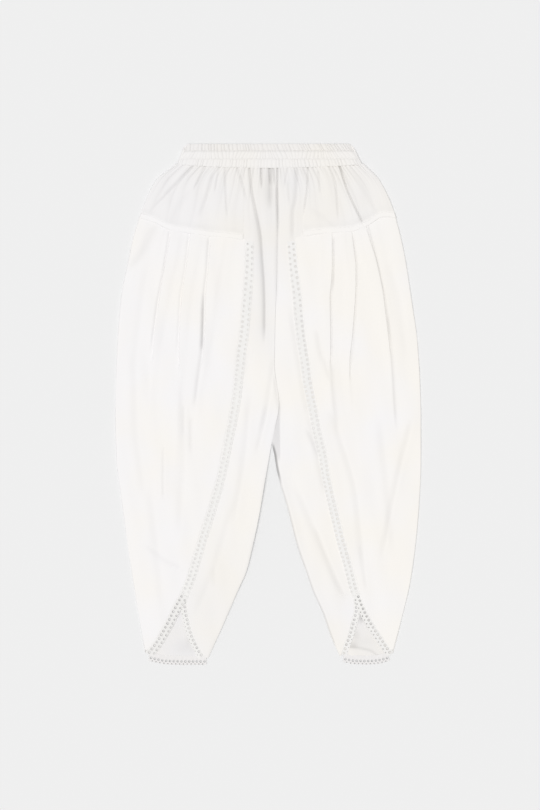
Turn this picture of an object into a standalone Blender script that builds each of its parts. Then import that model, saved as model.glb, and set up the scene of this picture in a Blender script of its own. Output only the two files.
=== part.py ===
"""Tulip shalwar laid flat, face up, waist towards +Y.

Its pieces: a gathered elastic waistband, a yoke round each hip, two centre front panels that run on down the
legs as the inner petals, two wrap-round legs whose fronts are the pleated outer petals, and a lace strip on
every petal edge and hem. Sizes are in millimetres. "Out" is the distance from the middle towards a piece's
own side, so that one set of functions serves the left and the right.
"""

from bisect import bisect_left
from collections import namedtuple
from math import cos, hypot, pi, sin

import bmesh
import bpy

MM = 0.001

# Cloth, lace and the room that touching pieces keep.
CLOTH = 1.1
BAND_CLOTH = 2.2
LACE = 1.0
LACE_WIDTH = 14.0
SEAM_GAP = 0.3
BACK_LEVEL = CLOTH / 2
LAID_ON = CLOTH + SEAM_GAP
YOKE_ROOM = 0.45
CLOTH_COLOUR = (0.90, 0.89, 0.87, 1.0)
LACE_COLOUR = (0.86, 0.855, 0.84, 1.0)

# How far each side reaches from the middle at each height.
Side = namedtuple("Side", "y left right")
SIDES = (
    Side(437, 169, 175),
    Side(409, 202, 201),
    Side(373, 222, 221),
    Side(318, 242, 239),
    Side(264, 254, 250),
    Side(191, 268, 261),
    Side(118, 274, 271),
    Side(45, 277, 276),
    Side(-28, 278, 278),
    Side(-100, 276, 278),
    Side(-173, 267, 275),
    Side(-246, 257, 269),
    Side(-319, 246, 259),
    Side(-392, 234, 242),
    Side(-446, 224, 227),
    Side(-462, 221, 223),
)

# Centre front seam, then the inner edge of each leg below the crotch, as plain X.
Inner = namedtuple("Inner", "y left right")
INNERS = (
    Inner(437, 16.7, 16.7),
    Inner(253, 15.8, 15.8),
    Inner(136, 12.2, 12.2),
    Inner(72, 11.5, 11.5),
    Inner(1, 19.5, 19.5),
    Inner(-40, 12.5, 12.5),
    Inner(-69, 6.4, 7.0),
    Inner(-90, 2.6, 13.6),
    Inner(-140, -6.2, 23.8),
    Inner(-200, -16.5, 38.8),
    Inner(-255, -28.0, 52.6),
    Inner(-302, -39.8, 68.6),
    Inner(-339, -56.0, 81.5),
    Inner(-379, -73.0, 99.6),
    Inner(-421, -91.5, 114.3),
    Inner(-466, -111.7, 134.5),
)

# Middle line of the long lace: down the front of the leg, then along the petal's edge to the hem's corner.
Lace = namedtuple("Lace", "y left right")
LONG_LACES = (
    Lace(298, 35.2, 40.4),
    Lace(253, 34.7, 43.3),
    Lace(195, 38.0, 51.5),
    Lace(129, 43.2, 58.5),
    Lace(60, 53.0, 67.5),
    Lace(14, 58.7, 78.0),
    Lace(-49, 68.0, 88.9),
    Lace(-111, 82.0, 99.2),
    Lace(-173, 98.4, 111.9),
    Lace(-242, 118.5, 131.0),
    Lace(-300, 134.0, 147.5),
    Lace(-348, 153.5, 160.0),
    Lace(-382, 171.7, 173.6),
    Lace(-409, 185.1, 189.2),
    Lace(-435, 200.9, 206.9),
    Lace(-448, 210.5, 215.2),
    Lace(-455, 216.4, 220.2),
)

# Middle line of the lace on each inner petal, from under the outer petal down to the hem.
INNER_LACES = (
    Lace(-356, 156.5, 163.2),
    Lace(-372, 155.0, 163.7),
    Lace(-388, 152.0, 160.5),
    Lace(-405, 148.2, 155.8),
    Lace(-421, 143.3, 151.4),
    Lace(-437, 136.2, 145.2),
    Lace(-450, 129.3, 141.3),
    Lace(-460, 122.7, 138.6),
)
PANEL_FOOT = {"left": -460, "right": -456}

# Middle line of the hem's lace, from the outer corner to the inner one.
Hem = namedtuple("Hem", "out y")
HEMS = {
    "left": (Hem(216.5, -458.8), Hem(183, -465.0), Hem(154, -465.8), Hem(126, -465.8), Hem(112.5, -465.8)),
    "right": (Hem(219, -458.9), Hem(198.6, -463.9), Hem(177.6, -465.2), Hem(154.2, -464.3), Hem(137, -461.0)),
}

# Lower edge of each yoke on the front, from the centre panel out to the side.
Seam = namedtuple("Seam", "out left right")
YOKE_SEAMS = (
    Seam(-30, 299, 299),
    Seam(40, 299, 299),
    Seam(65, 302, 306),
    Seam(105, 306, 311),
    Seam(150, 312, 314),
    Seam(180, 318, 325),
    Seam(210, 332, 341),
    Seam(245, 342, 338),
)

# Edge that each yoke shares with its centre front panel.
YokeEdge = namedtuple("YokeEdge", "y left right")
YOKE_EDGES = (YokeEdge(437, 43.0, 71.5), YokeEdge(372, 44.5, 67.0), YokeEdge(298, 46.0, 62.0))

# Hidden outer edge of each centre panel, tucked under the outer petal until it comes out as the inner petal.
Tuck = namedtuple("Tuck", "y left right")
TUCKS = (
    Tuck(437, 43.0, 71.5),
    Tuck(372, 44.5, 67.0),
    Tuck(294, 46.0, 62.0),
    Tuck(284, 53.0, 66.0),
    Tuck(195, 57.0, 74.0),
    Tuck(129, 63.0, 80.0),
    Tuck(60, 73.0, 89.0),
    Tuck(14, 80.0, 98.0),
    Tuck(-49, 89.0, 109.0),
    Tuck(-111, 103.0, 119.5),
    Tuck(-173, 120.0, 132.0),
    Tuck(-242, 140.0, 151.0),
    Tuck(-300, 157.0, 168.5),
    Tuck(-330, 165.0, 175.0),
)
OPENING_APEX = -346.0

# Long crease of each centre panel: how far out it lies, and its depth.
Crease = namedtuple("Crease", "y left left_depth right right_depth")
CREASES = (
    Crease(430, 32, 1.6, 51, 1.0),
    Crease(378, 26, 1.6, 48, 1.0),
    Crease(306, 17, 1.7, 39, 0.9),
    Crease(253, 10, 1.7, 31, 0.3),
    Crease(195, 8, 1.5, 31, 0.3),
    Crease(129, 8, 1.0, 36, 0.4),
    Crease(60, 14, 0.4, 45, 0.4),
    Crease(14, 25, 0.4, 54, 0.6),
    Crease(-73, 42, 0.9, 70, 0.8),
    Crease(-150, 48, 0.9, 84, 0.6),
    Crease(-239, 58, 0.7, 98, 0.6),
    Crease(-333, 96, 0.0, 126, 0.5),
    Crease(-400, 112, 0.0, 132, 0.0),
    Crease(-457, 110, 0.0, 130, 0.0),
)
CREASE_HALF_WIDTH = 5.0
CREASE_SHARE = 0.1
CREASE_INSIDE = (0.14, 0.8)
CREASE_TO_SEAM = (0.35, 0.7)

# Folded edges of the three pleats of each leg, at each height, from the lace out to the side.
Pleats = namedtuple("Pleats", "y near middle outer")
PLEATS = {
    "left": (
        Pleats(302, 104, 141, 176),
        Pleats(245, 109, 149, 187),
        Pleats(195, 114, 157, 197),
        Pleats(129, 115, 161, 206),
        Pleats(75, 120, 162, 211),
        Pleats(14, 129, 166, 215),
        Pleats(-100, 135, 172, 220),
        Pleats(-200, 155, 187, 223),
        Pleats(-300, 179, 202, 225),
    ),
    "right": (
        Pleats(302, 116, 152, 181),
        Pleats(245, 116, 159, 200),
        Pleats(195, 112, 158, 210),
        Pleats(129, 113, 153, 218),
        Pleats(75, 113, 148, 224),
        Pleats(14, 117, 151, 228),
        Pleats(-100, 137, 170, 238),
        Pleats(-200, 158, 190, 238),
        Pleats(-300, 182, 207, 235),
    ),
}
PLEAT_SHARES_AT_HEM = {"near": 0.28, "middle": 0.54, "outer": 0.8}

# Each pleat's depth at the yoke, the height where its fold ends and the height where its ridge has faded.
PleatDepth = namedtuple("PleatDepth", "depth folded_to faded_at")
PLEAT_DEPTHS = {
    "left": (PleatDepth(17, 0, -130), PleatDepth(12, 90, -190), PleatDepth(12, 105, -40)),
    "right": (PleatDepth(13, 15, -280), PleatDepth(12, 75, -40), PleatDepth(16, 45, -130)),
}
PLEAT_NAMES = ("near", "middle", "outer")
LAYER = 1.6
FOLD_RADIUS = LAYER / 2
TIGHTEST_FOLD = 2 * FOLD_RADIUS + 0.5
SLOPE_START = 13.0
SLOPE_END = 3.0
SLOPE_DROP = 0.5
DEPTH_POWER = 0.7
OPENING_LENGTH = 45.0
OPEN_RIDGE = 1.3
FULL_WIDTH = 130.0
SEAM_REACH = 160
HEM_REACH = 60
SIDE_COLUMNS = (0.12, 0.25, 0.5, 0.78)
BACK_COLUMNS = (0.1, 0.3, 0.5, 0.7, 0.88, 1.0)

# Ridge that a pleat leaves below its fold: how far from the edge each point lies, and its share of the ridge.
Ridge = namedtuple("Ridge", "out up")
OPEN_SHAPE = (
    Ridge(-15, 0),
    Ridge(-8, 0.6),
    Ridge(-3.5, 1.0),
    Ridge(-1.5, 0.9),
    Ridge(0, 0.6),
    Ridge(1.5, 0.3),
    Ridge(3.5, 0.05),
    Ridge(6, 0),
)

# Height of each layer's middle: a centre panel where it lies flat, and an outer petal.
Level = namedtuple("Level", "y panel petal")
LEVELS = (
    Level(437, 5.4, 6.8),
    Level(400, 4.2, 5.6),
    Level(350, 3.2, 4.6),
    Level(300, 2.6, 4.0),
    Level(240, 2.2, 3.6),
    Level(150, 2.0, 3.4),
    Level(-356, 2.0, 3.4),
    Level(-385, 2.0, 2.7),
    Level(-420, 2.0, 2.3),
    Level(-462, 2.0, 2.2),
)
LEG_PUFF = 0.9
PANEL_PUFF = 1.1
PANEL_FULL_WIDTH = 60.0
LACE_STEPS_DOWN = (-390, -422)
SIDE_TURNS = (60, 20, -20, -60)

# Heights where the legs and the centre panels have a section.
LEG_ROWS = (
    302, 280, 245, 200, 160, 129, 103, 85, 60, 38, 14, -12, -40, -80, -130, -190, -250, -310, -355, -400, -425, -445
)
PANEL_ROWS = (
    431, 415, 395, 360, 325, 294, 284, 245, 195, 129, 72, 30, 1, -40, -69, -90, -140, -200, -255, -305, -330, -352,
    -372, -388, -405, -421, -437,
)

# Yoke sections from the waistband down to its lower seam: how far down, the height, and how strong the gathers are.
YokeRow = namedtuple("YokeRow", "down level gather")
YOKE_ROWS = (
    YokeRow(0.0, 5.4, 1.0),
    YokeRow(0.1, 4.9, 0.85),
    YokeRow(0.26, 4.3, 0.5),
    YokeRow(0.54, 3.8, 0.2),
    YokeRow(0.91, 3.8, 0.0),
    YokeRow(0.93, 4.4, 0.0),
    YokeRow(1.0, 4.4, 0.0),
)
YOKE_GATHERS = 11
GATHER_HEIGHT = 0.9
LONG_GATHER = {"left": 8, "right": 6}
LONG_GATHER_HEIGHT = 1.0
YOKE_BACK_COLUMNS = 5
YOKE_FRONT_OUT = 55.0
YOKE_SIDE_OUTS = (175.0, 240.0)
YOKE_FOLD_ROOM = 4.0
PANEL_GATHERS_END = 385
SEAM_EDGE = 0.05
SEAM_LIFT = 0.1
PETAL_EDGE = 0.06

# Waistband: the lower edge, the front's and the back's upper edges, and how far it reaches at its foot and its top.
BAND_FOOT = 430.5
BAND_FOOT_RISE = 5.5
BAND_FRONT_TOP = 462.0
BAND_BACK_TOP = 474.1
BAND_FOOT_REACH = (168.0, 174.0)
BAND_TOP_REACH = (151.5, 152.5)
BAND_GATHERS = 54
BAND_LEVEL = 6.2
BAND_FADE = 3
BandRow = namedtuple("BandRow", "up lift gather")
BAND_ROWS = (
    BandRow(0.0, 0.0, 0.45),
    BandRow(0.27, 0.7, 1.0),
    BandRow(0.54, 0.0, 0.45),
    BandRow(1.0, 0.4, 1.0),
)
BAND_GATHER_HEIGHT = 0.9
BAND_BENDS = (50, 0, -50)

# Lace: the round gaps of the petal and hem strips, and the points along their free edge.
LACE_PITCH = 8.0
LACE_HOLE = 4.3
HOLE_SIDES = 8
HOLE_SHIFTS = {"petal": -3.4, "inner": -3.0, "hem": -0.8}
SCALLOP = 1.3
LONG_LACE_STEP = 16.0
HEM_STEPS = 12

# How far to each side of a place its slope is read, and how much a turn may widen a wall.
READ_STEP = 2.0
WIDEST_TURN = 1.25
SHARPEST_TURN = 0.1

SIGNS = {"left": -1.0, "right": 1.0}


def read(rows, column, place, key="y"):
    """The value of a table's column at a place between its rows, on a smooth curve through them."""
    rows = sorted(rows, key=lambda row: getattr(row, key))
    keys = [getattr(row, key) for row in rows]
    values = [getattr(row, column) for row in rows]
    place = min(max(place, keys[0]), keys[-1])
    high = min(max(bisect_left(keys, place), 1), len(keys) - 1)
    low = high - 1
    span = keys[high] - keys[low]

    def slope(index):
        before, after = max(index - 1, 0), min(index + 1, len(keys) - 1)
        left = (values[index] - values[before]) / (keys[index] - keys[before]) if index > before else None
        right = (values[after] - values[index]) / (keys[after] - keys[index]) if after > index else None
        if left is None or right is None:
            return right if left is None else left
        return 0.0 if left * right <= 0 else 2 * left * right / (left + right)

    t = (place - keys[low]) / span
    rise = t * t * (3 - 2 * t)
    curve_low = t * (1 - t) ** 2 * span * slope(low)
    curve_high = t * t * (1 - t) * span * slope(high)
    return values[low] + (values[high] - values[low]) * rise + curve_low - curve_high


def strip_room(rows, column, place, key="y"):
    """Half of a lace strip's width and its seam, measured across the table's direction."""
    ahead = read(rows, column, place + READ_STEP, key)
    behind = read(rows, column, place - READ_STEP, key)
    slope = (ahead - behind) / (2 * READ_STEP)
    return (LACE_WIDTH / 2 + 2 * SEAM_GAP) * hypot(1, slope)


def mix(a, b, t):
    """The value between a and b."""
    return a + (b - a) * t


def fade(value, start, end):
    """1 at start, 0 at end, with an even turn at both."""
    t = min(max((value - end) / (start - end), 0.0), 1.0)
    return t * t * (3 - 2 * t)


def inner_out(side, y):
    """A leg's inner edge, or the centre seam above the crotch, with half the seam's room taken off."""
    return SIGNS[side] * read(INNERS, side, y) + SEAM_GAP / 2


def petal_edge(side, y):
    """The cloth's edge beside the long lace."""
    return read(LONG_LACES, side, y) + strip_room(LONG_LACES, side, y)


def panel_edge(side, y):
    """Outer edge of a centre panel: hidden under the outer petal, then beside the inner petal's own lace."""
    if y > OPENING_APEX:
        return read(TUCKS, side, y)
    return read(INNER_LACES, side, y) - strip_room(INNER_LACES, side, y)


def leg_side(side, y):
    """How far a leg's section reaches: its upper sections climb towards the side, along the yoke's seam."""
    top = LEG_ROWS[0]
    climb = fade(y, top, SEAM_REACH) * (YOKE_SEAMS[-1].left - top)
    return read(SIDES, side, y + climb)


def front_span(side, y):
    """Where a leg's front lies flat: from its cloth edge at the lace to the start of its side fold."""
    level = read(LEVELS, "petal", y)
    return petal_edge(side, y), side_fold(leg_side(side, y), level)[0][0]


def pleat_place(side, name, y):
    """Where a pleat's folded edge lies. Below its table it runs on to its own share of the narrowing front."""
    last = PLEATS[side][-1].y
    if y >= last:
        return read(PLEATS[side], name, y)
    edge, end = front_span(side, last)
    share = (read(PLEATS[side], name, last) - edge) / (end - edge)
    edge, end = front_span(side, y)
    return edge + (end - edge) * mix(PLEAT_SHARES_AT_HEM[name], share, fade(y, last, LEG_ROWS[-1]))


def leg_front(side, y):
    """Front of a leg's section as (out, height) points, from the lace's edge to the side, over the three pleats."""
    edge, reach = front_span(side, y)
    width = reach - edge
    scale = min(1.0, width / FULL_WIDTH)
    level = read(LEVELS, "petal", y)

    def base(out):
        along = min(max((out - edge) / width, 0.0), 1.0)
        return level + LEG_PUFF * scale * sin(pi * along)

    points = [(edge, level)]
    for name, pleat in zip(PLEAT_NAMES, PLEAT_DEPTHS[side]):
        fold = pleat_place(side, name, y)
        top = PLEATS[side][0].y
        folded = min(max((y - pleat.folded_to) / (top - pleat.folded_to), 0.0), 1.0)
        opened = 1 - fade(y, pleat.folded_to, pleat.folded_to - OPENING_LENGTH)
        ridge = OPEN_RIDGE * fade(y, pleat.folded_to, pleat.faded_at)
        depth = mix(TIGHTEST_FOLD, pleat.depth, folded ** DEPTH_POWER)
        radius = FOLD_RADIUS
        closed_shape = (
            (-depth - SLOPE_START, 0),
            (-depth - SLOPE_END, 2 * LAYER - SLOPE_DROP),
            (-radius, 2 * LAYER),
            (0, 2 * LAYER - radius),
            (-radius, LAYER),
            (radius - depth, LAYER),
            (-depth, radius),
            (radius - depth, 0),
        )
        for (closed_out, closed_up), open_point in zip(closed_shape, OPEN_SHAPE):
            out = fold + mix(closed_out, open_point.out * scale, opened)
            points.append((out, base(out) + mix(closed_up, open_point.up * ridge, opened)))
    last = points[-1][0]
    for share in SIDE_COLUMNS:
        out = mix(last, reach, share)
        points.append((out, base(out)))
    return points


def side_fold(reach, level):
    """Points round a fold at a side, from the front layer's height down to the back layer's."""
    radius = (level - BACK_LEVEL) / 2
    middle = BACK_LEVEL + radius
    centre = reach - CLOTH / 2 - radius
    corner = (centre, level)
    bend = [(centre + radius * cos(pi * a / 180), middle + radius * sin(pi * a / 180)) for a in SIDE_TURNS]
    return [corner] + bend + [(centre, BACK_LEVEL)]


def wall_faces(section, wall, closed=False):
    """The two faces of a wall along one section, its middle line moved half the wall to each side."""
    count = len(section)
    first, second = [], []
    for index, (out, y, z) in enumerate(section):
        before = section[index - 1] if index or closed else section[index]
        after = section[(index + 1) % count] if index < count - 1 or closed else section[index]
        into = (out - before[0], z - before[2])
        away = (after[0] - out, after[2] - z)
        normals = [(-dz / hypot(dx, dz), dx / hypot(dx, dz)) for dx, dz in (into, away) if hypot(dx, dz) > 0]
        sum_x, sum_z = sum(n[0] for n in normals), sum(n[1] for n in normals)
        length = hypot(sum_x, sum_z)
        turn = length / len(normals)
        reach = wall / 2 * min(1 / max(turn, SHARPEST_TURN), WIDEST_TURN)
        nx, nz = sum_x / length * reach, sum_z / length * reach
        first.append((out + nx, y, max(z + nz, 0.0)))
        second.append((out - nx, y, max(z - nz, 0.0)))
    return first, second


def finish_mesh(name, bm, colour, roughness):
    """Turns a finished bmesh into a named object with its own material."""
    bmesh.ops.recalc_face_normals(bm, faces=bm.faces)
    mesh = bpy.data.meshes.new(name)
    bm.to_mesh(mesh)
    bm.free()
    material = bpy.data.materials.new(name + "_cloth")
    material.use_nodes = True
    shader = material.node_tree.nodes["Principled BSDF"]
    shader.inputs["Base Color"].default_value = colour
    shader.inputs["Roughness"].default_value = roughness
    shader.inputs["Metallic"].default_value = 0.0
    mesh.materials.append(material)
    item = bpy.data.objects.new(name, mesh)
    bpy.context.scene.collection.objects.link(item)
    return item


def shell(name, sign, rows, closed=False, colour=CLOTH_COLOUR):
    """A closed wall through rows of sections, each row a pair of faces with the same number of points."""
    bm = bmesh.new()
    upper, lower = [
        [[bm.verts.new((sign * x * MM, y * MM, z * MM)) for x, y, z in row[face]] for row in rows] for face in (0, 1)
    ]
    columns = len(upper[0])
    last = columns if closed else columns - 1
    for above, below, low_above, low_below in zip(upper, upper[1:], lower, lower[1:]):
        for j in range(last):
            k = (j + 1) % columns
            bm.faces.new((above[j], above[k], below[k], below[j]))
            bm.faces.new((low_above[j], low_below[j], low_below[k], low_above[k]))
    for top, bottom in ((upper[0], lower[0]), (upper[-1], lower[-1])):
        for j in range(last):
            k = (j + 1) % columns
            bm.faces.new((top[j], top[k], bottom[k], bottom[j]))
    if not closed:
        for j in (0, columns - 1):
            for i in range(len(rows) - 1):
                bm.faces.new((upper[i][j], upper[i + 1][j], lower[i + 1][j], lower[i][j]))
    return finish_mesh(name, bm, colour, 0.9)


def hem_edge(side, out):
    """The cloth's edge above the hem's lace."""
    return read(HEMS[side], "y", out, "out") + strip_room(HEMS[side], "y", out, "out")


def yoke_seam(side, out, on_back):
    """Height of the seam between yoke and leg: curved on the front, straight to the centre on the back."""
    if not on_back:
        return read(YOKE_SEAMS, side, out, "out")
    centre, reach = YOKE_SEAMS[0], YOKE_SEAMS[-1]
    share = (out - centre.out) / (reach.out - centre.out)
    return mix(getattr(centre, side), getattr(reach, side), share)


def leg(side):
    """Outer petal, side fold and back of one leg, in one wrap-round piece."""
    rows = []
    top, foot = LEG_ROWS[0], LEG_ROWS[-1]
    for y in LEG_ROWS:
        front = leg_front(side, y)
        fold = side_fold(leg_side(side, y), read(LEVELS, "petal", y))
        near_top = fade(y, top, SEAM_REACH)
        near_foot = fade(y, foot, foot + HEM_REACH)
        inner = inner_out(side, y + near_foot * (hem_edge(side, inner_out(side, y)) - foot))
        back = [(mix(fold[-1][0], inner, t), BACK_LEVEL) for t in BACK_COLUMNS]
        section = []
        for index, (out, z) in enumerate(front + fold + back):
            on_back = index >= len(front) + len(fold) // 2
            place = y + near_top * (yoke_seam(side, out, on_back) - top - YOKE_ROOM)
            if on_back:
                place += near_foot * (hem_edge(side, out) - foot)
            section.append((out, place, z))
        rows.append(wall_faces(section, CLOTH))
    return shell("leg_" + side, SIGNS[side], rows)


def panel_section(side, y):
    """Section of a centre front panel as (out, height) points, from its hidden edge to the seam or the inner edge."""
    outer, inner = panel_edge(side, y), inner_out(side, y)
    if y < OPENING_APEX:
        flat_to = mix(outer, inner, PETAL_EDGE)
    elif y < YOKE_SEAMS[0].left:
        flat_to = min(read(LONG_LACES, side, y) - LACE_WIDTH / 2 - CLOTH, outer - CLOTH)
    else:
        flat_to = outer - 2 * CLOTH
    inner_level = read(LEVELS, "panel", y)
    depth = read(CREASES, side + "_depth", y)
    span = flat_to - inner
    place = min(max((flat_to - read(CREASES, side, y)) / span, CREASE_INSIDE[0]), CREASE_INSIDE[1])
    half = min(CREASE_HALF_WIDTH / span, CREASE_SHARE)
    start, end = place - half, place + half
    to_crease = [start / 3, start * 2 / 3, start]
    to_seam = [end] + [mix(end, 1 - SEAM_EDGE, share) for share in CREASE_TO_SEAM]
    gather = GATHER_HEIGHT * fade(y, PANEL_ROWS[0], PANEL_GATHERS_END)
    puff = PANEL_PUFF * min(1.0, span / PANEL_FULL_WIDTH)
    points = [(outer, inner_level), (flat_to, inner_level)]
    for index, stop in enumerate(to_crease + [place] + to_seam):
        height = inner_level + puff * sin(pi * stop) + gather * (0.5 if index % 2 else -0.5)
        if stop == place:
            height -= min(depth, inner_level + puff * sin(pi * stop) - BACK_LEVEL - LAID_ON)
        points.append((flat_to - span * stop, height))
    points.append((inner + span * SEAM_EDGE, inner_level + SEAM_LIFT))
    points.append((inner, inner_level))
    return points


def front_panel(side):
    """One centre front panel with its inner petal."""
    rows = []
    for y in PANEL_ROWS + (PANEL_FOOT[side],):
        points = panel_section(side, y)
        section = []
        for out, z in points:
            place = y if y < PANEL_ROWS[0] else band_foot(SIGNS[side] * out) - SEAM_GAP
            section.append((out, place, z))
        rows.append(wall_faces(section, CLOTH))
    return shell("front_" + side, SIGNS[side], rows)


def band_foot(x):
    """Height of the waistband's lower edge, which rises a little to its ends."""
    return BAND_FOOT + BAND_FOOT_RISE * (x / BAND_FOOT_REACH[0]) ** 2


def yoke(side):
    """A yoke from the centre panel round the side to the centre back, gathered under the waistband."""
    sign = SIGNS[side]
    rows = []
    for row in YOKE_ROWS:
        def height_at(out, on_back=False, down=row.down):
            foot = band_foot(sign * out) - SEAM_GAP
            return mix(foot, yoke_seam(side, out, on_back) + YOKE_ROOM, down)

        edge = read(YOKE_EDGES, side, height_at(YOKE_FRONT_OUT)) + SEAM_GAP
        reach = read(SIDES, side, height_at(mix(*YOKE_SIDE_OUTS, row.down)))
        fold = side_fold(reach, row.level)
        inner = inner_out(side, height_at(0.0))
        count = 2 * YOKE_GATHERS
        section = []
        for index in range(count + 1):
            out = mix(edge, fold[0][0] - YOKE_FOLD_ROOM, index / count)
            wave = 0.5 if index % 2 else -0.5
            inside = min(1.0, index / 2, (count - index) / 3)
            lift = wave * GATHER_HEIGHT * row.gather * inside
            if index == 2 * LONG_GATHER[side] + 1:
                lift -= LONG_GATHER_HEIGHT * (1 - row.down)
            section.append((out, height_at(out), row.level + lift))
        section += [(out, height_at(out, turn >= len(fold) // 2), z) for turn, (out, z) in enumerate(fold)]
        for step in range(1, YOKE_BACK_COLUMNS + 1):
            out = mix(fold[-1][0], inner, step / YOKE_BACK_COLUMNS)
            section.append((out, height_at(out, True), BACK_LEVEL))
        rows.append(wall_faces(section, CLOTH))
    return shell("yoke_" + side, sign, rows)


def waistband():
    """The gathered ring of the waistband, its back standing a little above its front, flat underneath."""
    rows = []
    count = 2 * BAND_GATHERS
    middle_back = BAND_CLOTH / 2
    radius = (BAND_LEVEL - middle_back) / 2

    def reach(y, end):
        up = (y - BAND_FOOT) / (BAND_BACK_TOP - BAND_FOOT)
        return mix(BAND_FOOT_REACH[end], BAND_TOP_REACH[end], up)

    def point(across, up, top, z, bulge=0.0):
        foot = band_foot(mix(-BAND_FOOT_REACH[0], BAND_FOOT_REACH[1], across))
        y = mix(foot, top, up)
        margin = BAND_CLOTH / 2 + radius
        x = mix(-reach(y, 0) + margin, reach(y, 1) - margin, across)
        return (x + (bulge if across > 0.5 else -bulge), y, z)

    for row in BAND_ROWS:
        level = BAND_LEVEL + row.lift
        section, waves = [], []
        for index in range(count + 1):
            section.append(point(index / count, row.up, BAND_FRONT_TOP, level))
            inside = min(1.0, index / BAND_FADE, (count - index) / BAND_FADE)
            waves.append((1.0 if index % 2 else -1.0) * BAND_GATHER_HEIGHT * row.gather * inside)
        for turn, angle in enumerate(BAND_BENDS):
            top = mix(BAND_FRONT_TOP, BAND_BACK_TOP, (turn + 1) / (len(BAND_BENDS) + 1))
            z = mix(middle_back, level, (1 + sin(pi * angle / 180)) / 2)
            section.append(point(1.0, row.up, top, z, radius * cos(pi * angle / 180)))
            waves.append(0.0)
        for index in range(count, -1, -1):
            section.append(point(index / count, row.up, BAND_BACK_TOP, middle_back))
            inside = min(1.0, index / BAND_FADE, (count - index) / BAND_FADE)
            waves.append((1.0 if index % 2 else 0.0) * BAND_GATHER_HEIGHT * row.gather * inside)
        for turn, angle in enumerate(reversed(BAND_BENDS)):
            top = mix(BAND_BACK_TOP, BAND_FRONT_TOP, (turn + 1) / (len(BAND_BENDS) + 1))
            z = mix(middle_back, level, (1 + sin(pi * angle / 180)) / 2)
            section.append(point(0.0, row.up, top, z, radius * cos(pi * angle / 180)))
            waves.append(0.0)
        outer, inner = wall_faces(section, BAND_CLOTH, closed=True)
        on_front = count + 1
        for index, wave in enumerate(waves):
            x, y, z = inner[index]
            inner[index] = (x, y, z + wave)
            if index < on_front:
                x, y, z = outer[index]
                outer[index] = (x, y, z + wave)
        rows.append((outer, inner))
    return shell("waistband", 1.0, rows, closed=True)


def strip_frame(path, at):
    """Place and direction at a distance along a path of (out, y) points."""
    for (x0, y0), (x1, y1) in zip(path, path[1:]):
        length = hypot(x1 - x0, y1 - y0)
        if at <= length or (x1, y1) == path[-1]:
            t = at / length
            return (mix(x0, x1, t), mix(y0, y1, t)), ((x1 - x0) / length, (y1 - y0) / length)
        at -= length
    return None


def path_length(path):
    """Length of a path of (out, y) points."""
    return sum(hypot(b[0] - a[0], b[1] - a[1]) for a, b in zip(path, path[1:]))


def lace_level(side, y):
    """Middle height of the long lace: on the centre panel, then on the back where the hem is open."""
    on_panel = read(LEVELS, "panel", y) + (CLOTH + LACE) / 2 + SEAM_GAP
    on_back = BACK_LEVEL + (CLOTH + LACE) / 2 + SEAM_GAP
    return mix(on_back, on_panel, fade(y, *LACE_STEPS_DOWN))


def open_lace(kind, side, path, level, free):
    """A lace strip with one row of round gaps, its free edge running out to a point at each gap."""
    bm = bmesh.new()
    shift = HOLE_SHIFTS[kind]
    cells = round(path_length(path) / LACE_PITCH)
    pitch = path_length(path) / cells
    half = LACE_WIDTH / 2

    def place(at, across, up):
        (x, y), (dx, dy) = strip_frame(path, at)
        z = level(y) + up
        return bm.verts.new((SIGNS[side] * (x - dy * across * free) * MM, (y + dx * across * free) * MM, z * MM))

    def ends(at):
        return [[place(at, across, up) for across in (-half, half)] for up in (LACE / 2, -LACE / 2)]

    before = ends(0.0)
    bm.faces.new((before[0][0], before[0][1], before[1][1], before[1][0]))
    for cell in range(cells):
        after = ends((cell + 1) * pitch)
        middle = (cell + 0.5) * pitch
        tips = [place(middle, half + SCALLOP, up) for up in (LACE / 2, -LACE / 2)]
        rings = []
        for up in (LACE / 2, -LACE / 2):
            angles = [2 * pi * (k + 0.5) / HOLE_SIDES - pi for k in range(HOLE_SIDES)]
            hole = LACE_HOLE / 2
            rings.append([place(middle + hole * cos(a), shift + hole * sin(a), up) for a in angles])
        quarter = HOLE_SIDES // 4
        for face in (0, 1):
            low_in, low_out = before[face]
            high_in, high_out = after[face]
            ring = rings[face]
            at_corner = {0: low_in, quarter: high_in, 2 * quarter: high_out, 3 * quarter: low_out}
            corners = [at_corner[(k // quarter) * quarter] for k in range(HOLE_SIDES)]
            for k in range(HOLE_SIDES):
                following = (k + 1) % HOLE_SIDES
                bm.faces.new((ring[k], ring[following], corners[k]))
                if corners[following] is not corners[k]:
                    if corners[k] is high_out:
                        bm.faces.new((ring[following], tips[face], corners[k]))
                        bm.faces.new((ring[following], corners[following], tips[face]))
                    else:
                        bm.faces.new((ring[following], corners[following], corners[k]))
        for k in range(HOLE_SIDES):
            following = (k + 1) % HOLE_SIDES
            bm.faces.new((rings[0][k], rings[0][following], rings[1][following], rings[1][k]))
        bm.faces.new((before[0][0], after[0][0], after[1][0], before[1][0]))
        bm.faces.new((before[0][1], tips[0], tips[1], before[1][1]))
        bm.faces.new((tips[0], after[0][1], after[1][1], tips[1]))
        before = after
    bm.faces.new((before[0][0], before[0][1], before[1][1], before[1][0]))
    return finish_mesh("lace_" + kind + "_" + side, bm, LACE_COLOUR, 0.85)


def curve(rows, side, top, foot, step):
    """Points of a lace's middle line between two heights."""
    count = max(2, round((top - foot) / step))
    heights = [mix(top, foot, index / count) for index in range(count + 1)]
    return [(read(rows, side, y), y) for y in heights]


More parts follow.
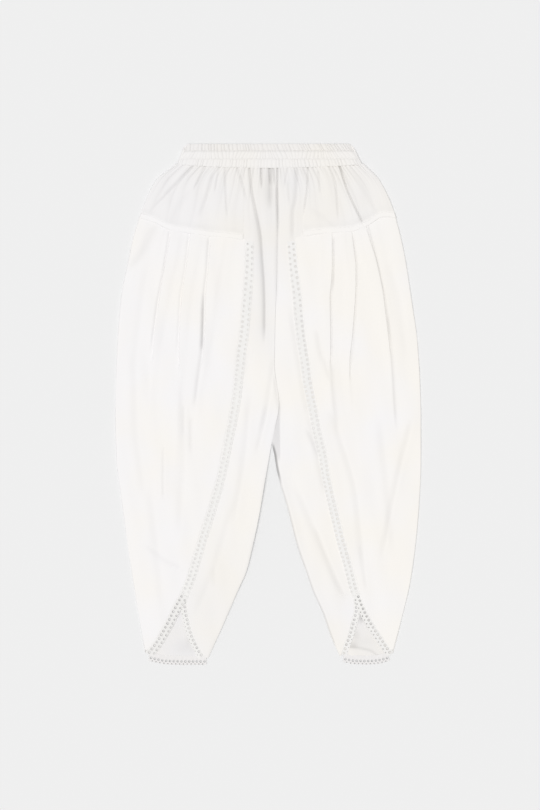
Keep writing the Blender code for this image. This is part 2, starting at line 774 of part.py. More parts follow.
def laces(side):
    """The three lace strips of one leg."""
    sign = SIGNS[side]
    long_path = curve(LONG_LACES, side, LONG_LACES[0].y - SEAM_GAP, OPENING_APEX, LONG_LACE_STEP)
    rows = []
    for index, (out, y) in enumerate(long_path):
        (x0, y0), (x1, y1) = long_path[max(index - 1, 0)], long_path[min(index + 1, len(long_path) - 1)]
        length = hypot(x1 - x0, y1 - y0)
        dx, dy = (x1 - x0) / length, (y1 - y0) / length
        half = LACE_WIDTH / 2
        faces = []
        for up in (LACE / 2, -LACE / 2):
            z = lace_level(side, y) + up
            faces.append([(out - dy * across, y + dx * across, z) for across in (-half, half)])
        rows.append(faces)
    shell("lace_long_" + side, sign, rows, colour=LACE_COLOUR)
    petal_path = curve(LONG_LACES, side, OPENING_APEX - 3 * SEAM_GAP, LONG_LACES[-1].y, LACE_PITCH)
    open_lace("petal", side, petal_path, lambda y: lace_level(side, y), -1.0)
    inner_path = curve(INNER_LACES, side, INNER_LACES[0].y, PANEL_FOOT[side], LACE_PITCH)
    on_back = BACK_LEVEL + (CLOTH + LACE) / 2 + SEAM_GAP
    open_lace("inner", side, inner_path, lambda y: on_back, 1.0)
    hem = HEMS[side]
    outs = [mix(hem[0].out, hem[-1].out, index / HEM_STEPS) for index in range(HEM_STEPS + 1)]
    hem_path = [(out, read(hem, "y", out, "out")) for out in outs]
    open_lace("hem", side, hem_path, lambda y: LACE / 2, 1.0)


def main():
    """Clears the scene and makes every piece."""
    for item in list(bpy.data.objects):
        bpy.data.objects.remove(item, do_unlink=True)
    waistband()
    for side in SIGNS:
        yoke(side)
        front_panel(side)
        leg(side)
        laces(side)


main()
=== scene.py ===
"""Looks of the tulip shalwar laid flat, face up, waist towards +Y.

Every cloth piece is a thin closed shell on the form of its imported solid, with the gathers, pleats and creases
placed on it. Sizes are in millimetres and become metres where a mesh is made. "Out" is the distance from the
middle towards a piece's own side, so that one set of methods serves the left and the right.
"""

import logging
from dataclasses import dataclass
from enum import Enum
from math import pi, radians
from typing import Callable, ClassVar

import bmesh
import bpy
import numpy as np
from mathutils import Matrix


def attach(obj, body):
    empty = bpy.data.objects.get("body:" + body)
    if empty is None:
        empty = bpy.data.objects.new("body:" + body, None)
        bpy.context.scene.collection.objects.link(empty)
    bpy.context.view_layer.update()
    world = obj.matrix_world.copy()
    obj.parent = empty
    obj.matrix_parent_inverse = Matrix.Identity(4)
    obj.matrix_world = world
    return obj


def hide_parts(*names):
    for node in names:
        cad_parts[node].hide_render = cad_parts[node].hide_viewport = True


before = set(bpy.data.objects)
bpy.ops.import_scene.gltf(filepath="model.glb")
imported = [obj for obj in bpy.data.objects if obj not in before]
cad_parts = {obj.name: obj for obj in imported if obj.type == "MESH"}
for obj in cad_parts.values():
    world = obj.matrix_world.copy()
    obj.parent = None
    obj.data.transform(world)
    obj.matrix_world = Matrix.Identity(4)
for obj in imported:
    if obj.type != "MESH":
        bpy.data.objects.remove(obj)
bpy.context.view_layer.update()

Array = np.ndarray
Paint = tuple[float, float, float, float]
Socket = bpy.types.NodeSocket
log = logging.getLogger("shalwar")

MM = 0.001

# Cloth, lace and the layers they lie on
CLOTH = 0.55
CLOTH_ROOM = 1.1
BAND_WALL = 1.9
LACE_WIDTH = 14.0
SEAM_GAP = 0.3
BACK_LEVEL = 0.35
TUCKED = 2.2
TUCKED_IN_BAND = 1.6
READ_STEP = 2.0
FLOOR_SOFTNESS = 0.35


def mix(a: Array | float, b: Array | float, t: Array | float) -> Array | float:
    """The value between a and b."""
    return a + (b - a) * t


def fade(value: Array | float, start: float, end: float) -> Array:
    """1 at start, 0 at end, with an even turn at both."""
    t = np.clip((value - end) / (start - end), 0.0, 1.0)
    return t * t * (3 - 2 * t)


def window(value: Array, *ends: tuple[float, float]) -> Array:
    """1 between some ends, each with the places where it is whole and where it has faded."""
    return np.prod([fade(value, *end) for end in ends], axis=0)


def bell(away: Array, width: Array | float) -> Array:
    """1 in the middle, fading the same way on both sides."""
    return np.exp(-((away / width) ** 2))


def arch(t: Array, power: float = 1.0) -> Array:
    """A rise and fall between 0 and 1."""
    return np.sin(pi * np.clip(t, 0, 1)) ** power


def nearness(share: Array, times: float) -> Array:
    """0 at both ends of a stretch and 1 between them."""
    return np.clip(np.minimum(share, 1 - share) * times, 0, 1)


def stay_above(height: Array, floor: float) -> Array:
    """Bends a height field softly so that it never sinks below a floor."""
    return floor + FLOOR_SOFTNESS * np.logaddexp(0.0, (height - floor) / FLOOR_SOFTNESS)


def even_slopes(steep: Array) -> Array:
    """Slopes at the points along the first axis, from those of the stretches; flat where the curve turns back."""
    left, right = np.concatenate([steep[:1], steep]), np.concatenate([steep, steep[-1:]])
    total = np.where(left + right == 0, 1.0, left + right)
    return np.where(left * right > 0, 2 * left * right / total, 0.0)


def curve(t: Array, span: Array, values: tuple[Array, Array], slopes: tuple[Array, Array]) -> Array:
    """A smooth stretch between two values, with a slope at each, at a share of its span."""
    bend = t * (1 - t) * span * ((1 - t) * slopes[0] - t * slopes[1])
    return values[0] + (values[1] - values[0]) * t * t * (3 - 2 * t) + bend


def rolling(x: Array, y: Array, swells: tuple[tuple[float, float, float, float], ...]) -> Array:
    """Sum of long low swells, each with its length across and along, its start and its share."""
    return sum(share * np.sin(2 * pi * (x / across + y / along) + start) for across, along, start, share in swells)


class Table:
    """Rows of sizes with a name for every column, read on a smooth curve through them."""

    def __init__(self, names: str, *rows: tuple[float, ...]) -> None:
        """Sorts the rows by their first column, the key; names has every column's name."""
        self.columns = dict(zip(names.split(), np.array(sorted(rows), float).T))
        self.keys = self.columns[names.split()[0]]

    def read(self, column: str, place: Array | float) -> Array:
        """The column's value at a place between the rows.

        Args:
            column: The column's name.
            place: One key or an array of keys.

        Returns:
            The value at each key, held at the table's ends.
        """
        keys, values = self.keys, self.columns[column]
        slopes = even_slopes(np.diff(values) / np.diff(keys))
        place = np.clip(place, keys[0], keys[-1])
        low = np.clip(np.searchsorted(keys, place) - 1, 0, len(keys) - 2)
        high = low + 1
        span = keys[high] - keys[low]
        return curve((place - keys[low]) / span, span, (values[low], values[high]), (slopes[low], slopes[high]))

    def lean(self, column: str, place: Array) -> Array:
        """How steeply the column changes at a place."""
        return (self.read(column, place + READ_STEP) - self.read(column, place - READ_STEP)) / (2 * READ_STEP)

    def strip_room(self, column: str, place: Array) -> Array:
        """Half of a lace strip's width and its seam, measured across the table's direction."""
        return (LACE_WIDTH / 2 + 2 * SEAM_GAP) * np.hypot(1, self.lean(column, place))


class Side(Enum):
    """The two sides of the garment, as the picture shows them."""

    LEFT = "left"
    RIGHT = "right"

    @property
    def sign(self) -> float:
        """The side's direction along X."""
        return -1.0 if self is Side.LEFT else 1.0


# How far each side reaches from the middle at each height
SIDES = Table(
    "y left right",
    (437, 169, 175), (409, 202, 201), (373, 222, 221), (318, 242, 239), (264, 254, 250), (191, 268, 261),
    (118, 274, 271), (45, 277, 276), (-28, 278, 278), (-100, 276, 278), (-173, 267, 275), (-246, 257, 269),
    (-319, 246, 259), (-392, 234, 242), (-446, 224, 227), (-462, 221, 223),
)

# Centre front seam, then the inner edge of each leg below the crotch, as plain X
INNERS = Table(
    "y left right",
    (437, 16.7, 16.7), (253, 15.8, 15.8), (136, 12.2, 12.2), (72, 11.5, 11.5), (1, 19.5, 19.5), (-40, 12.5, 12.5),
    (-69, 6.4, 6.6), (-90, 2.6, 10.8), (-115, -1.8, 14.8), (-140, -6.2, 20.8), (-165, -10.5, 28.6),
    (-200, -16.5, 38.4), (-255, -28.0, 52.6),
    (-302, -39.8, 68.6), (-339, -56.0, 81.5), (-379, -73.0, 99.6), (-421, -91.5, 114.3), (-466, -111.7, 134.5),
)
CROTCH = 1.0
LEGS_PART = -69.0

# Middle line of the long lace: down the front of the leg, then along the petal's edge to the hem's corner
LONG_LACES = Table(
    "y left right",
    (298, 33.7, 41.6), (270, 34.1, 44.0), (240, 35.1, 47.3), (200, 38.1, 52.5), (165, 41.1, 55.4), (129, 44.2, 59.1),
    (95, 49.3, 64.2), (70, 51.8, 68.0), (45, 54.3, 70.9), (14, 57.5, 77.1), (-20, 62.9, 83.6), (-50, 68.8, 89.0),
    (-75, 73.8, 95.1), (-95, 77.7, 99.9), (-125, 84.0, 104.1), (-155, 91.4, 110.1), (-185, 100.3, 117.0),
    (-215, 109.7, 124.0), (-242, 118.4, 130.4), (-275, 128.2, 139.6), (-305, 136.9, 147.7), (-330, 146.1, 154.0),
    (-348, 153.5, 159.5), (-365, 163.0, 166.0), (-382, 171.7, 173.6), (-403, 182.0, 185.4), (-423, 193.3, 198.4),
    (-437, 202.3, 208.0), (-448, 210.5, 215.2), (-455, 216.4, 220.2),
)
OPENING_APEX = -346.0

# Middle line of the lace on each inner petal, from under the outer petal down to the hem
INNER_LACES = Table(
    "y left right",
    (-356, 156.5, 163.2), (-372, 155.0, 163.7), (-388, 152.0, 160.5), (-405, 148.2, 155.8), (-421, 143.3, 151.4),
    (-437, 136.2, 145.2), (-450, 129.3, 141.3), (-460, 122.7, 138.6),
)
PANEL_FOOT = {Side.LEFT: -460.0, Side.RIGHT: -456.0}

# Distance from hole to hole along a lace, and between its two rows of holes
HEM_PITCH = 7.1
LACE_SIZES = Table(
    "y pitch spread",
    (298, 10.4, 7.8), (240, 10.4, 9.2), (200, 10.2, 10.0), (170, 9.5, 10.7), (110, 8.8, 10.9), (40, 8.7, 10.2),
    (-20, 8.6, 9.8), (-60, 8.5, 9.0), (-110, 8.3, 8.6), (-300, 8.2, 8.7), (-455, 8.0, 8.1),
)

# Middle line of the hem's lace, from the outer corner to the inner one
HEMS = {
    Side.LEFT: Table("out y", (216.5, -458.8), (183, -465.0), (154, -465.8), (126, -465.8), (112.5, -465.8)),
    Side.RIGHT: Table("out y", (219, -458.9), (198.6, -463.9), (177.6, -465.2), (154.2, -464.3), (137, -461.0)),
}

# Lower edge of each yoke on the front, from the centre panel out to the side
YOKE_SEAMS = Table(
    "out left right",
    (-30, 299, 299), (40, 299, 299), (65, 302, 306), (105, 306, 311), (150, 312, 314), (180, 318, 325),
    (210, 332, 341), (245, 342, 338),
)

# Edge that each yoke shares with its centre front panel
YOKE_EDGES = Table("y left right", (437, 43.0, 71.5), (372, 44.5, 67.0), (298, 46.0, 62.0))

# Hidden outer edge of each centre panel
TUCKS = Table(
    "y left right",
    (437, 43.0, 71.5), (372, 44.5, 67.0), (294, 46.0, 62.0), (284, 53.0, 66.0), (195, 57.0, 74.0), (129, 63.0, 80.0),
    (60, 73.0, 89.0), (14, 80.0, 98.0), (-49, 89.0, 109.0), (-111, 103.0, 119.5), (-173, 120.0, 132.0),
    (-242, 140.0, 151.0), (-300, 157.0, 168.5), (-330, 165.0, 175.0),
)

# Height of each yoke's cloth along its seam with the centre panel, which lies just under it
YOKE_SIDE_LEVELS = Table("y level", (437, 5.5), (418, 4.9), (397, 4.4), (360, 4.2), (311, 4.1), (298, 3.9))

# Height of each layer's middle: a centre panel where it lies flat, and an outer petal
LEVELS = Table(
    "y panel petal",
    (437, 5.4, 6.8), (400, 4.2, 5.6), (350, 3.2, 4.6), (300, 2.6, 4.0), (240, 2.2, 3.6), (150, 2.0, 3.4),
    (-356, 2.0, 3.4), (-385, 2.0, 2.7), (-420, 2.0, 2.3), (-462, 2.0, 2.2),
)
YOKE_TUCK = 3.0

# How light each centre panel is: painted shade under the gathered waist, as on the yokes, and darker towards the hem;
# and painted shade on the cloth under the laces' holes
PANEL_PAINTED_SHADES = Table(
    "y left right",
    (437, 0.955, 0.955), (300, 0.96, 0.965), (250, 0.965, 0.985), (200, 0.97, 1.0), (120, 0.975, 1.0), (40, 1, 1),
    (-200, 0.99, 1), (-380, 0.965, 0.985), (-460, 0.965, 0.985),
)
# Painted shade of the yokes' gathered cloth
YOKE_PAINTED_SHADE = 0.96
LACE_SHADES = Table(
    "y left right", (298, 0.12, 0.15), (130, 0.13, 0.16), (0, 0.07, 0.09), (-200, 0.07, 0.09), (-346, 0.13, 0.13)
)

# Shade on the inside of each leg's back, in the open hem: place, reach across and up, and darkness
HEM_SHADES = {
    Side.LEFT: ((-154, -440, 16, 13, 0.05), (-146, -428, 4, 14, 0.06), (-138, -448, 5, 9, 0.06)),
    Side.RIGHT: ((169, -388, 4, 7, 0.3), (160, -419, 6, 9, 0.10), (155, -437, 8, 6, 0.14), (176, -430, 18, 8, 0.03)),
}

# Upper edge of the cloth turned up inside the right leg's hem
HEM_TURN = Table(
    "out y", (205, -461), (196, -455), (190, -450), (182, -446.5), (167, -443.4), (152, -441), (130, -441)
)
LEG_PUFF = 0.9
PANEL_PUFF = 1.1
PANEL_FULL_WIDTH = 60.0

# Folded edges of the three pleats of each leg, at each height, from the lace out to the side
PLEATS = {
    Side.LEFT: Table(
        "y near middle outer",
        (302, 104, 141, 176), (245, 109, 149, 187), (195, 114, 157, 197), (129, 115, 161, 206), (75, 120, 162, 211),
        (14, 129, 166, 215), (-100, 135, 172, 220), (-200, 155, 187, 223), (-300, 179, 202, 225),
    ),
    Side.RIGHT: Table(
        "y near middle outer",
        (302, 116, 152, 177), (265, 116, 156.5, 188.5), (245, 116, 159, 195.5), (218, 114.3, 159, 203.5),
        (195, 112, 158, 209), (129, 113, 153, 217.5), (75, 113, 148, 224),
        (14, 117, 151, 228), (-100, 137, 170, 238), (-200, 158, 190, 238), (-300, 182, 207, 235),
    ),
}
PLEATS_LOW = -300.0
PLEAT_SHARES_AT_HEM = {"near": 0.28, "middle": 0.54, "outer": 0.8}
LEG_TOP = 302.0
LEG_FOOT = -445.0
SEAM_REACH = 160.0
HEM_REACH = 60.0

# Waistband: lower edge, stitched lines and upper edges, and how far it reaches at its foot and its top
BAND_FOOT = 430.5
BAND_FOOT_RISE = 5.5
BAND_MIDDLE = 446.6
BAND_UPPER_LINE = 460.6
BAND_FRONT_TOP = 462.0
BAND_BACK_TOP = 474.1
BAND_FOOT_REACH = (168.0, 174.0)
BAND_TOP_REACH = (151.5, 152.5)
BAND_LEVEL = 6.2
BAND_BACK_LEVEL = 1.1


def band_foot(x: Array) -> Array:
    """Height of the waistband's lower edge, which rises a little to its ends."""
    return BAND_FOOT + BAND_FOOT_RISE * (x / BAND_FOOT_REACH[0]) ** 2


@dataclass(frozen=True)
class Cut:
    """The lines that the pieces of one side share."""

    side: Side

    @property
    def name(self) -> str:
        """The side's column in the tables."""
        return self.side.value

    def inner(self, y: Array) -> Array:
        """The leg's inner edge, or the centre seam above the crotch."""
        return self.side.sign * INNERS.read(self.name, y) + SEAM_GAP / 2

    def reach(self, y: Array) -> Array:
        """How far the side reaches."""
        return SIDES.read(self.name, y)

    def petal_edge(self, y: Array) -> Array:
        """The outer petal's cloth edge beside the long lace."""
        return LONG_LACES.read(self.name, y) + LONG_LACES.strip_room(self.name, y)

    def petal_foot_edge(self, y: Array) -> Array:
        """The inner petal's cloth edge beside its lace."""
        return INNER_LACES.read(self.name, y) - INNER_LACES.strip_room(self.name, y)

    def panel_edge(self, y: Array) -> Array:
        """Outer edge of the centre panel: hidden first, then beside the inner petal's own lace."""
        tucked = TUCKS.read(self.name, y) + YOKE_TUCK * fade(y, 298.0, 284.0)
        return np.where(y > OPENING_APEX, tucked, self.petal_foot_edge(y))

    def leg_side(self, y: Array) -> Array:
        """How far a leg's section reaches: the upper ones climb towards the side, along the yoke's seam."""
        climb = fade(y, LEG_TOP, SEAM_REACH) * (YOKE_SEAMS.columns["left"][-1] - LEG_TOP)
        return self.reach(y + climb)

    def front_seam(self, out: Array) -> Array:
        """Height of the yoke's seam on the front."""
        return YOKE_SEAMS.read(self.name, out)

    def back_seam(self, out: Array) -> Array:
        """Height of the yoke's seam on the back, which runs straight to the centre."""
        outs, heights = YOKE_SEAMS.keys, YOKE_SEAMS.columns[self.name]
        return mix(heights[0], heights[-1], (out - outs[0]) / (outs[-1] - outs[0]))

    def hem(self, out: Array) -> Array:
        """The cloth's edge above the hem's lace."""
        return HEMS[self.side].read("y", out) + HEMS[self.side].strip_room("y", out)


@dataclass(frozen=True)
class Crease:
    """One trough pressed in the cloth, along a line of (y, x) points from its top down.

    The shoulder is a low swell beside it, on the side of the shoulder's sign.
    """

    line: tuple[tuple[float, float], ...]
    depth: float
    left: float = 4.0
    right: float = 4.0
    shoulder: float = 0.0
    top_fade: float = 12.0
    foot_fade: float = 25.0
    shoulder_away: ClassVar[float] = 1.9
    shoulder_width: ClassVar[float] = 1.3

    def height(self, x: Array, y: Array) -> Array:
        """The crease's part of the height field.

        Args:
            x: Place across the garment.
            y: Height on the garment.

        Returns:
            Height at each point, in millimetres.
        """
        table = Table("y x", *self.line)
        foot, top = table.keys[0], table.keys[-1]
        leans = np.diff(table.columns["x"]) / np.diff(table.keys)
        beyond = np.minimum(y - foot, 0.0) * leans[0] + np.maximum(y - top, 0.0) * leans[-1]
        away = (x - table.read("x", y) - beyond) / np.hypot(1, table.lean("x", y))
        along = fade(y, top, top + self.top_fade) * fade(y, foot, foot - self.foot_fade)
        side = np.sign(self.shoulder)
        spread = self.left if side < 0 else self.right
        swell = abs(self.shoulder) * bell(away - side * self.shoulder_away * spread, self.shoulder_width * spread)
        return along * (swell - self.depth * bell(away, np.where(away < 0, self.left, self.right)))


# Creases of the gathered top, each from the waistband down
TOP_CREASES = (
    Crease(((432, -139), (400, -169), (384, -184)), 1.3, 3.4, 2.6, 0.3, 6, 40),
    Crease(((318, -210), (289, -223), (262, -241)), 0.6, 8.0, 8.0, 0, 16, 22),
    Crease(((432, -115), (403, -129)), 1.5, 2.5, 1.8, 0.23, 4, 16),
    Crease(((412, -101), (357, -120)), 0.76, 3.7, 3.1, 0.14, 12, 20),
    Crease(((432, -89), (397, -95)), 0.95, 1.9, 1.9, 0.14, 4, 14),
    Crease(((432, -79), (394, -78), (362, -76)), 1.2, 1.9, 2.2, 0.18, 4, 26),
    Crease(((432, -57), (400, -46), (387, -43)), 1.1, 2.5, 1.9, 0.18, 4, 22),
    Crease(
        ((434, -34), (391, -30), (349, -22), (306, -14), (264, -11), (221, -8), (176, -7), (150, -7)),
        2.3, 3.2, 1.8, 0.5, 4, 44),
    Crease(((330, -18), (264, -11), (221, -8), (176, -7), (150, -7)), 0.9, 9.0, 3.0, 0, 40, 44),
    Crease(((434, 0), (400, 1), (385, 2)), 0.45, 13.0, 13.0, 0, 6, 40),
    Crease(((434, -13), (404, -12)), 2.2, 1.7, 1.7, 0, 4, 14),
    Crease(((434, 1), (409, 3)), 2.0, 1.7, 1.7, 0, 4, 12),
    Crease(((434, 9), (409, 11)), 2.0, 1.7, 1.7, 0, 4, 12),
    Crease(((436, 17), (387, 16), (352, 17)), 2.3, 2.0, 1.8, 0.18, 4, 50),
    Crease(((380, 16), (330, 17), (264, 16), (222, 16)), 0.8, 3.4, 2.6, 0, 30, 50),
    Crease(((436, 5), (400, 4), (380, 4)), 1.5, 5, 3.7, 0, 4, 30),
    Crease(((432, 35), (406, 31)), 1, 1.9, 1.9, 0.14, 4, 14),
    Crease(((400, 36), (375, 38)), 0.76, 2.5, 2.5, 0, 14, 16),
    Crease(((424, 52), (378, 50), (347, 44), (318, 44)), 1.2, 4.3, 3.1, 0.27, 10, 26),
    Crease(((432, 72), (394, 71), (372, 68)), 1.4, 2.0, 1.8, 0.32, 4, 34),
    Crease(((422, 91), (397, 93)), 0.85, 1.9, 1.9, 0, 6, 18),
    Crease(((434, 111), (397, 123), (357, 126)), 1.1, 2.2, 1.9, 0.23, 4, 26),
    Crease(((434, 130), (387, 145), (337, 169)), 2.6, 2.0, 1.5, 0.41, 4, 20),
    Crease(((425, 150), (395, 172), (370, 186)), 0.4, 5, 4.3, 0.18, 10, 30),
    Crease(((380, -150), (352, -168), (325, -180)), 0.3, 5.6, 5.6, 0, 16, 24),
    Crease(((352, 86), (334, 108)), 0.3, 5.6, 5, 0, 12, 16),
)

# Creases of the legs and the centre panels, from the crotch down to the hems
LEG_CREASES = (
    Crease(((127, 88.6), (96, 94), (72, 103), (58, 107)), 0.9, 4.8, 4, 0.18, 14, 20),
    Crease(((138, 46), (49, 60), (-4, 70)), 0.85, 5.6, 3.2, 0.18, 50, 20),
    Crease(((-33, 76), (-82, 86), (-137, 98)), 0.85, 5.6, 3.2, 0.18, 20, 40),
    Crease(((67, 8), (36, 3), (8, -1), (-30, -8)), 0.77, 5.6, 3.2, 0.23, 30, 24),
    Crease(((40, 13), (16, 16), (-4, 19)), 1.3, 3.2, 2, 0, 24, 12),
    Crease(((-8, -154), (-44, -154)), 0.59, 3.2, 3.2, 0.14, 10, 14),
    Crease(((-89, -191), (-155, -191)), 0.77, 2.4, 2.4, 0.18, 20, 24),
    Crease(((-31, -141), (-73, -141)), 0.68, 3.2, 4, 0.14, 14, 20),
    Crease(((9, -160), (-82, -156), (-197, -162)), 0.5, 7.2, 5.6, 0.18, 60, 50),
    Crease(((-16, -38), (-115, -48), (-177, -59)), 0.77, 6.4, 4.8, 0.23, 40, 50),
    Crease(((-11, -5), (-38, -11), (-66, -17)), 0.85, 4, 3.2, 0.18, 16, 30),
    Crease(((-262, -214), (-280, -192), (-294, -166)), 0.59, 4.8, 4.8, 0.14, 8, 10),
    Crease(((-304, -100), (-322, -100)), 0.59, 4, 4, 0, 12, 12),
    Crease(((-210, -75), (-290, -98), (-350, -122)), 0.51, 6.4, 5.6, 0.14, 40, 40),
    Crease(((-32, 119), (-156, 156), (-255, 168)), 0.85, 6.4, 4.8, 0.23, 30, 50),
    Crease(((-45, 255), (-169, 226), (-239, 213)), 0.85, 5.6, 4, 0.23, 24, 50),
    Crease(((-53, 73), (-86, 88)), 0.85, 4, 4, 0.14, 14, 18),
    Crease(((-177, 61), (-250, 92), (-321, 123)), 0.68, 7.2, 5.6, 0.18, 40, 40),
    Crease(((-265, 168), (-321, 176)), 0.68, 4, 3.2, 0.14, 16, 20),
    Crease(((-239, 90), (-290, 110), (-333, 130)), 0.68, 4.8, 4, 0.14, 24, 30),
    Crease(((-60, 205), (-150, 214), (-230, 222)), 0.51, 6.4, 6.4, 0.14, 40, 50),
    Crease(((60, -245), (-40, -243), (-130, -232)), 0.51, 7.2, 6.4, 0.14, 40, 50),
    Crease(((-180, -214), (-260, -205), (-330, -198)), 0.42, 7.2, 6.4, 0.14, 40, 50),
    Crease(((240, 222), (180, 238), (120, 246)), 0.42, 7.2, 6.4, 0.14, 30, 40),
    Crease(((230, -226), (160, -236), (90, -244)), 0.42, 7.2, 6.4, 0.14, 30, 40),
)

# The cloth drops beside each pleat's folded edge, which deepens its line
PLEAT_TROUGHS = (
    Crease(((300, -109), (245, -113), (195, -118), (129, -119)), 0.6, 2.4, 1.2, 0, 6, 30),
    Crease(((170, -118.6), (140, -119.4), (114, -120.5)), 1.35, 3.3, 1.2, 0, 46, 20),
    Crease(((104, -121), (60, -127), (20, -132)), 0.55, 3.6, 2.4, 0, 26, 30),
    Crease(((60, 115), (20, 118), (-20, 122)), 0.35, 4, 5, 0, 26, 40),
    Crease(((150, 218), (75, 225), (10, 229), (-10, 230)), 0.42, 1.8, 3.6, 0, 24, 40),
    Crease(((304, -146), (245, -153), (195, -161), (129, -165)), 0.35, 2, 1.2, 0, 6, 40),
    Crease(((312, -181), (245, -191), (195, -201), (129, -210)), 0.5, 2.2, 1.2, 0, 6, 40),
    Crease(((300, 118.5), (245, 118.5), (228, 118)), 0.75, 1.2, 2, 0, 6, 30),
    Crease(((228, 117), (195, 114), (129, 115.5), (105, 115.5)), 0.4, 1.2, 2, 0, 20, 30),
    Crease(((304, 154.5), (245, 161.5), (195, 160), (129, 155), (85, 151)), 0.4, 1.2, 2, 0, 6, 40),
    Crease(((322, 181.5), (290, 190.5), (245, 201.5), (195, 211.5), (145, 218)), 0.6, 1.2, 2.2, 0, 6, 36),
)


@dataclass(eq=False)
class Pinches:
    """Gathers side by side, uneven in width, height and length, as the elastic pulls them in."""

    seed: int
    narrow: float
    wide: float
    height: float
    run: float
    roundness: float
    count: int = 160
    height_shares: ClassVar[tuple[float, float]] = (0.3, 1.0)
    run_shares: ClassVar[tuple[float, float]] = (0.35, 1.65)
    fall: ClassVar[float] = 1.5
    valley_sharpness: ClassVar[int] = 4

    def __post_init__(self) -> None:
        """Draws the gathers once, well beyond both ends of the band."""
        draw = np.random.default_rng(self.seed)
        self.widths = draw.uniform(self.narrow, self.wide, self.count)
        self.edges = np.append(0.0, np.cumsum(self.widths)) - self.widths.sum() / 2
        self.heights = self.height * draw.uniform(*self.height_shares, self.count)
        self.runs = self.run * draw.uniform(*self.run_shares, self.count)

    def find(self, s: Array, below: Array | float) -> tuple[Array, Array]:
        """Height of the gather at each place, and how near its edges are: 0 in its middle and 1 at both.

        Args:
            s: Place along the band.
            below: Distance below the band, over which the gathers fade.

        Returns:
            The heights and the shares.
        """
        index = np.clip(np.searchsorted(self.edges, s) - 1, 0, self.count - 1)
        t = np.clip((s - self.edges[index]) / self.widths[index], 0.0, 1.0)
        return self.heights[index] * np.exp(-((below / self.runs[index]) ** self.fall)), np.abs(2 * t - 1)

    def ridge(self, s: Array, below: Array | float = 0.0) -> Array:
        """Height of the gathers, 0 in the valleys between them."""
        height, aside = self.find(s, below)
        return height * (1 - aside**self.roundness)

    def valley(self, s: Array, below: Array | float = 0.0) -> Array:
        """How deep a place lies between two gathers, 1 in the middle of the deepest valleys."""
        height, aside = self.find(s, below)
        return height / self.height * aside**self.valley_sharpness


FINE_GATHERS = Pinches(11, 4.2, 8.4, 1.15, 21.0, 2.2)
BROAD_GATHERS = Pinches(23, 9.0, 22.0, 1.5, 56.0, 2.6)
LONG_GATHERS = Pinches(37, 18.0, 42.0, 1.1, 105.0, 2.6)
UPPER_GATHERS = Pinches(53, 4.4, 8.8, 0.85, 30.0, 1.6)
BACK_GATHERS = Pinches(71, 4.6, 10.5, 1.7, 30.0, 2.0)


@dataclass(frozen=True)
class Gathers:
    """Gathers that fan out below the waistband: fine ones that soon fade and broader ones that run on."""

    wander: float = 1.6
    wander_length: float = 17.0
    wander_fall: float = 19.0
    wander_from: float = 30.0
    broad_start: float = 0.3
    broad_from: float = 9.0
    long_from: float = 25.0
    valley_shades: tuple[float, float, float] = (0.20, 0.12, 0.05)

    def spread(self, x: Array, y: Array) -> tuple[Array, Array]:
        """Finds where a point's gather meets the waistband.

        Args:
            x: Place across the garment.
            y: Height on the garment.

        Returns:
            Place along the band, and distance below it.
        """
        below = np.maximum(band_foot(x) - y, 0.0)
        s = x * BAND_FOOT_REACH[0] / np.where(x < 0, SIDES.read("left", y), SIDES.read("right", y))
        bend = self.wander * np.sin(s / self.wander_length + below / self.wander_fall)
        return s + bend * np.clip(below / self.wander_from, 0, 1), below

    def height(self, x: Array, y: Array) -> Array:
        """The gathers' part of the height field.

        Args:
            x: Place across the garment.
            y: Height on the garment.

        Returns:
            Height at each point, in millimetres.
        """
        place = self.spread(x, y)
        return (
            FINE_GATHERS.ridge(*place)
            + BROAD_GATHERS.ridge(*place) * mix(self.broad_start, 1.0, np.clip(place[1] / self.broad_from, 0, 1))
            + LONG_GATHERS.ridge(*place) * np.clip(place[1] / self.long_from, 0, 1)
        )

    def hollow(self, x: Array, y: Array) -> Array:
        """Painted shade in the valleys between the gathers.

        Args:
            x: Place across the garment.
            y: Height on the garment.

        Returns:
            Painted darkness at each point.
        """
        place = self.spread(x, y)
        fine, broad, long = self.valley_shades
        return (
            fine * FINE_GATHERS.valley(*place)
            + broad * BROAD_GATHERS.valley(*place)
            + long * LONG_GATHERS.valley(*place) * np.clip(place[1] / self.long_from, 0, 1)
        )


@dataclass(frozen=True)
class Drape:
    """The relief that every layer of the front shares, so that stacked layers stay stacked.

    Each group of creases has its darkness of painted shade for a millimetre of depth.
    """

    gathers: Gathers = Gathers()
    creases: tuple[tuple[tuple[Crease, ...], float], ...] = (
        (TOP_CREASES, 0.085), (LEG_CREASES, 0.06), (PLEAT_TROUGHS, 0.20)
    )
    swell: float = 0.32
    swells: tuple[tuple[float, float, float, float], ...] = (
        (61.0, 240.0, 0.3, 1.0), (43.0, 170.0, 2.1, 0.7), (88.0, 130.0, 4.0, 0.9), (29.0, 210.0, 5.2, 0.45),
        (52.0, -190.0, 1.2, 0.7), (74.0, -260.0, 3.3, 0.8),
    )

    def height(self, x: Array, y: Array) -> Array:
        """The whole relief in millimetres: gathers, long low swells of loose cloth, and creases."""
        total = self.gathers.height(x, y) + self.swell * rolling(x, y, self.swells)
        return total + sum(crease.height(x, y) for creases, _ in self.creases for crease in creases)

    def shade(self, x: Array, y: Array) -> Array:
        """Painted shade of the cloth: darker deep in the creases and between the gathers.

        Args:
            x: Place across the garment.
            y: Height on the garment.

        Returns:
            The share of its light that each point keeps.
        """
        loss = self.gathers.hollow(x, y)
        for creases, darkness in self.creases:
            loss = loss + darkness * sum(np.maximum(-crease.height(x, y), 0.0) for crease in creases)
        return np.exp(-loss)


DRAPE = Drape()


BACK_SWELLS = (57.0, 310.0, 0.6, 1.0), (83.0, -240.0, 2.0, 0.7), (31.0, 420.0, 4.0, 0.5)
BACK_RISE = 0.8
BACK_SHAPE = 1.3


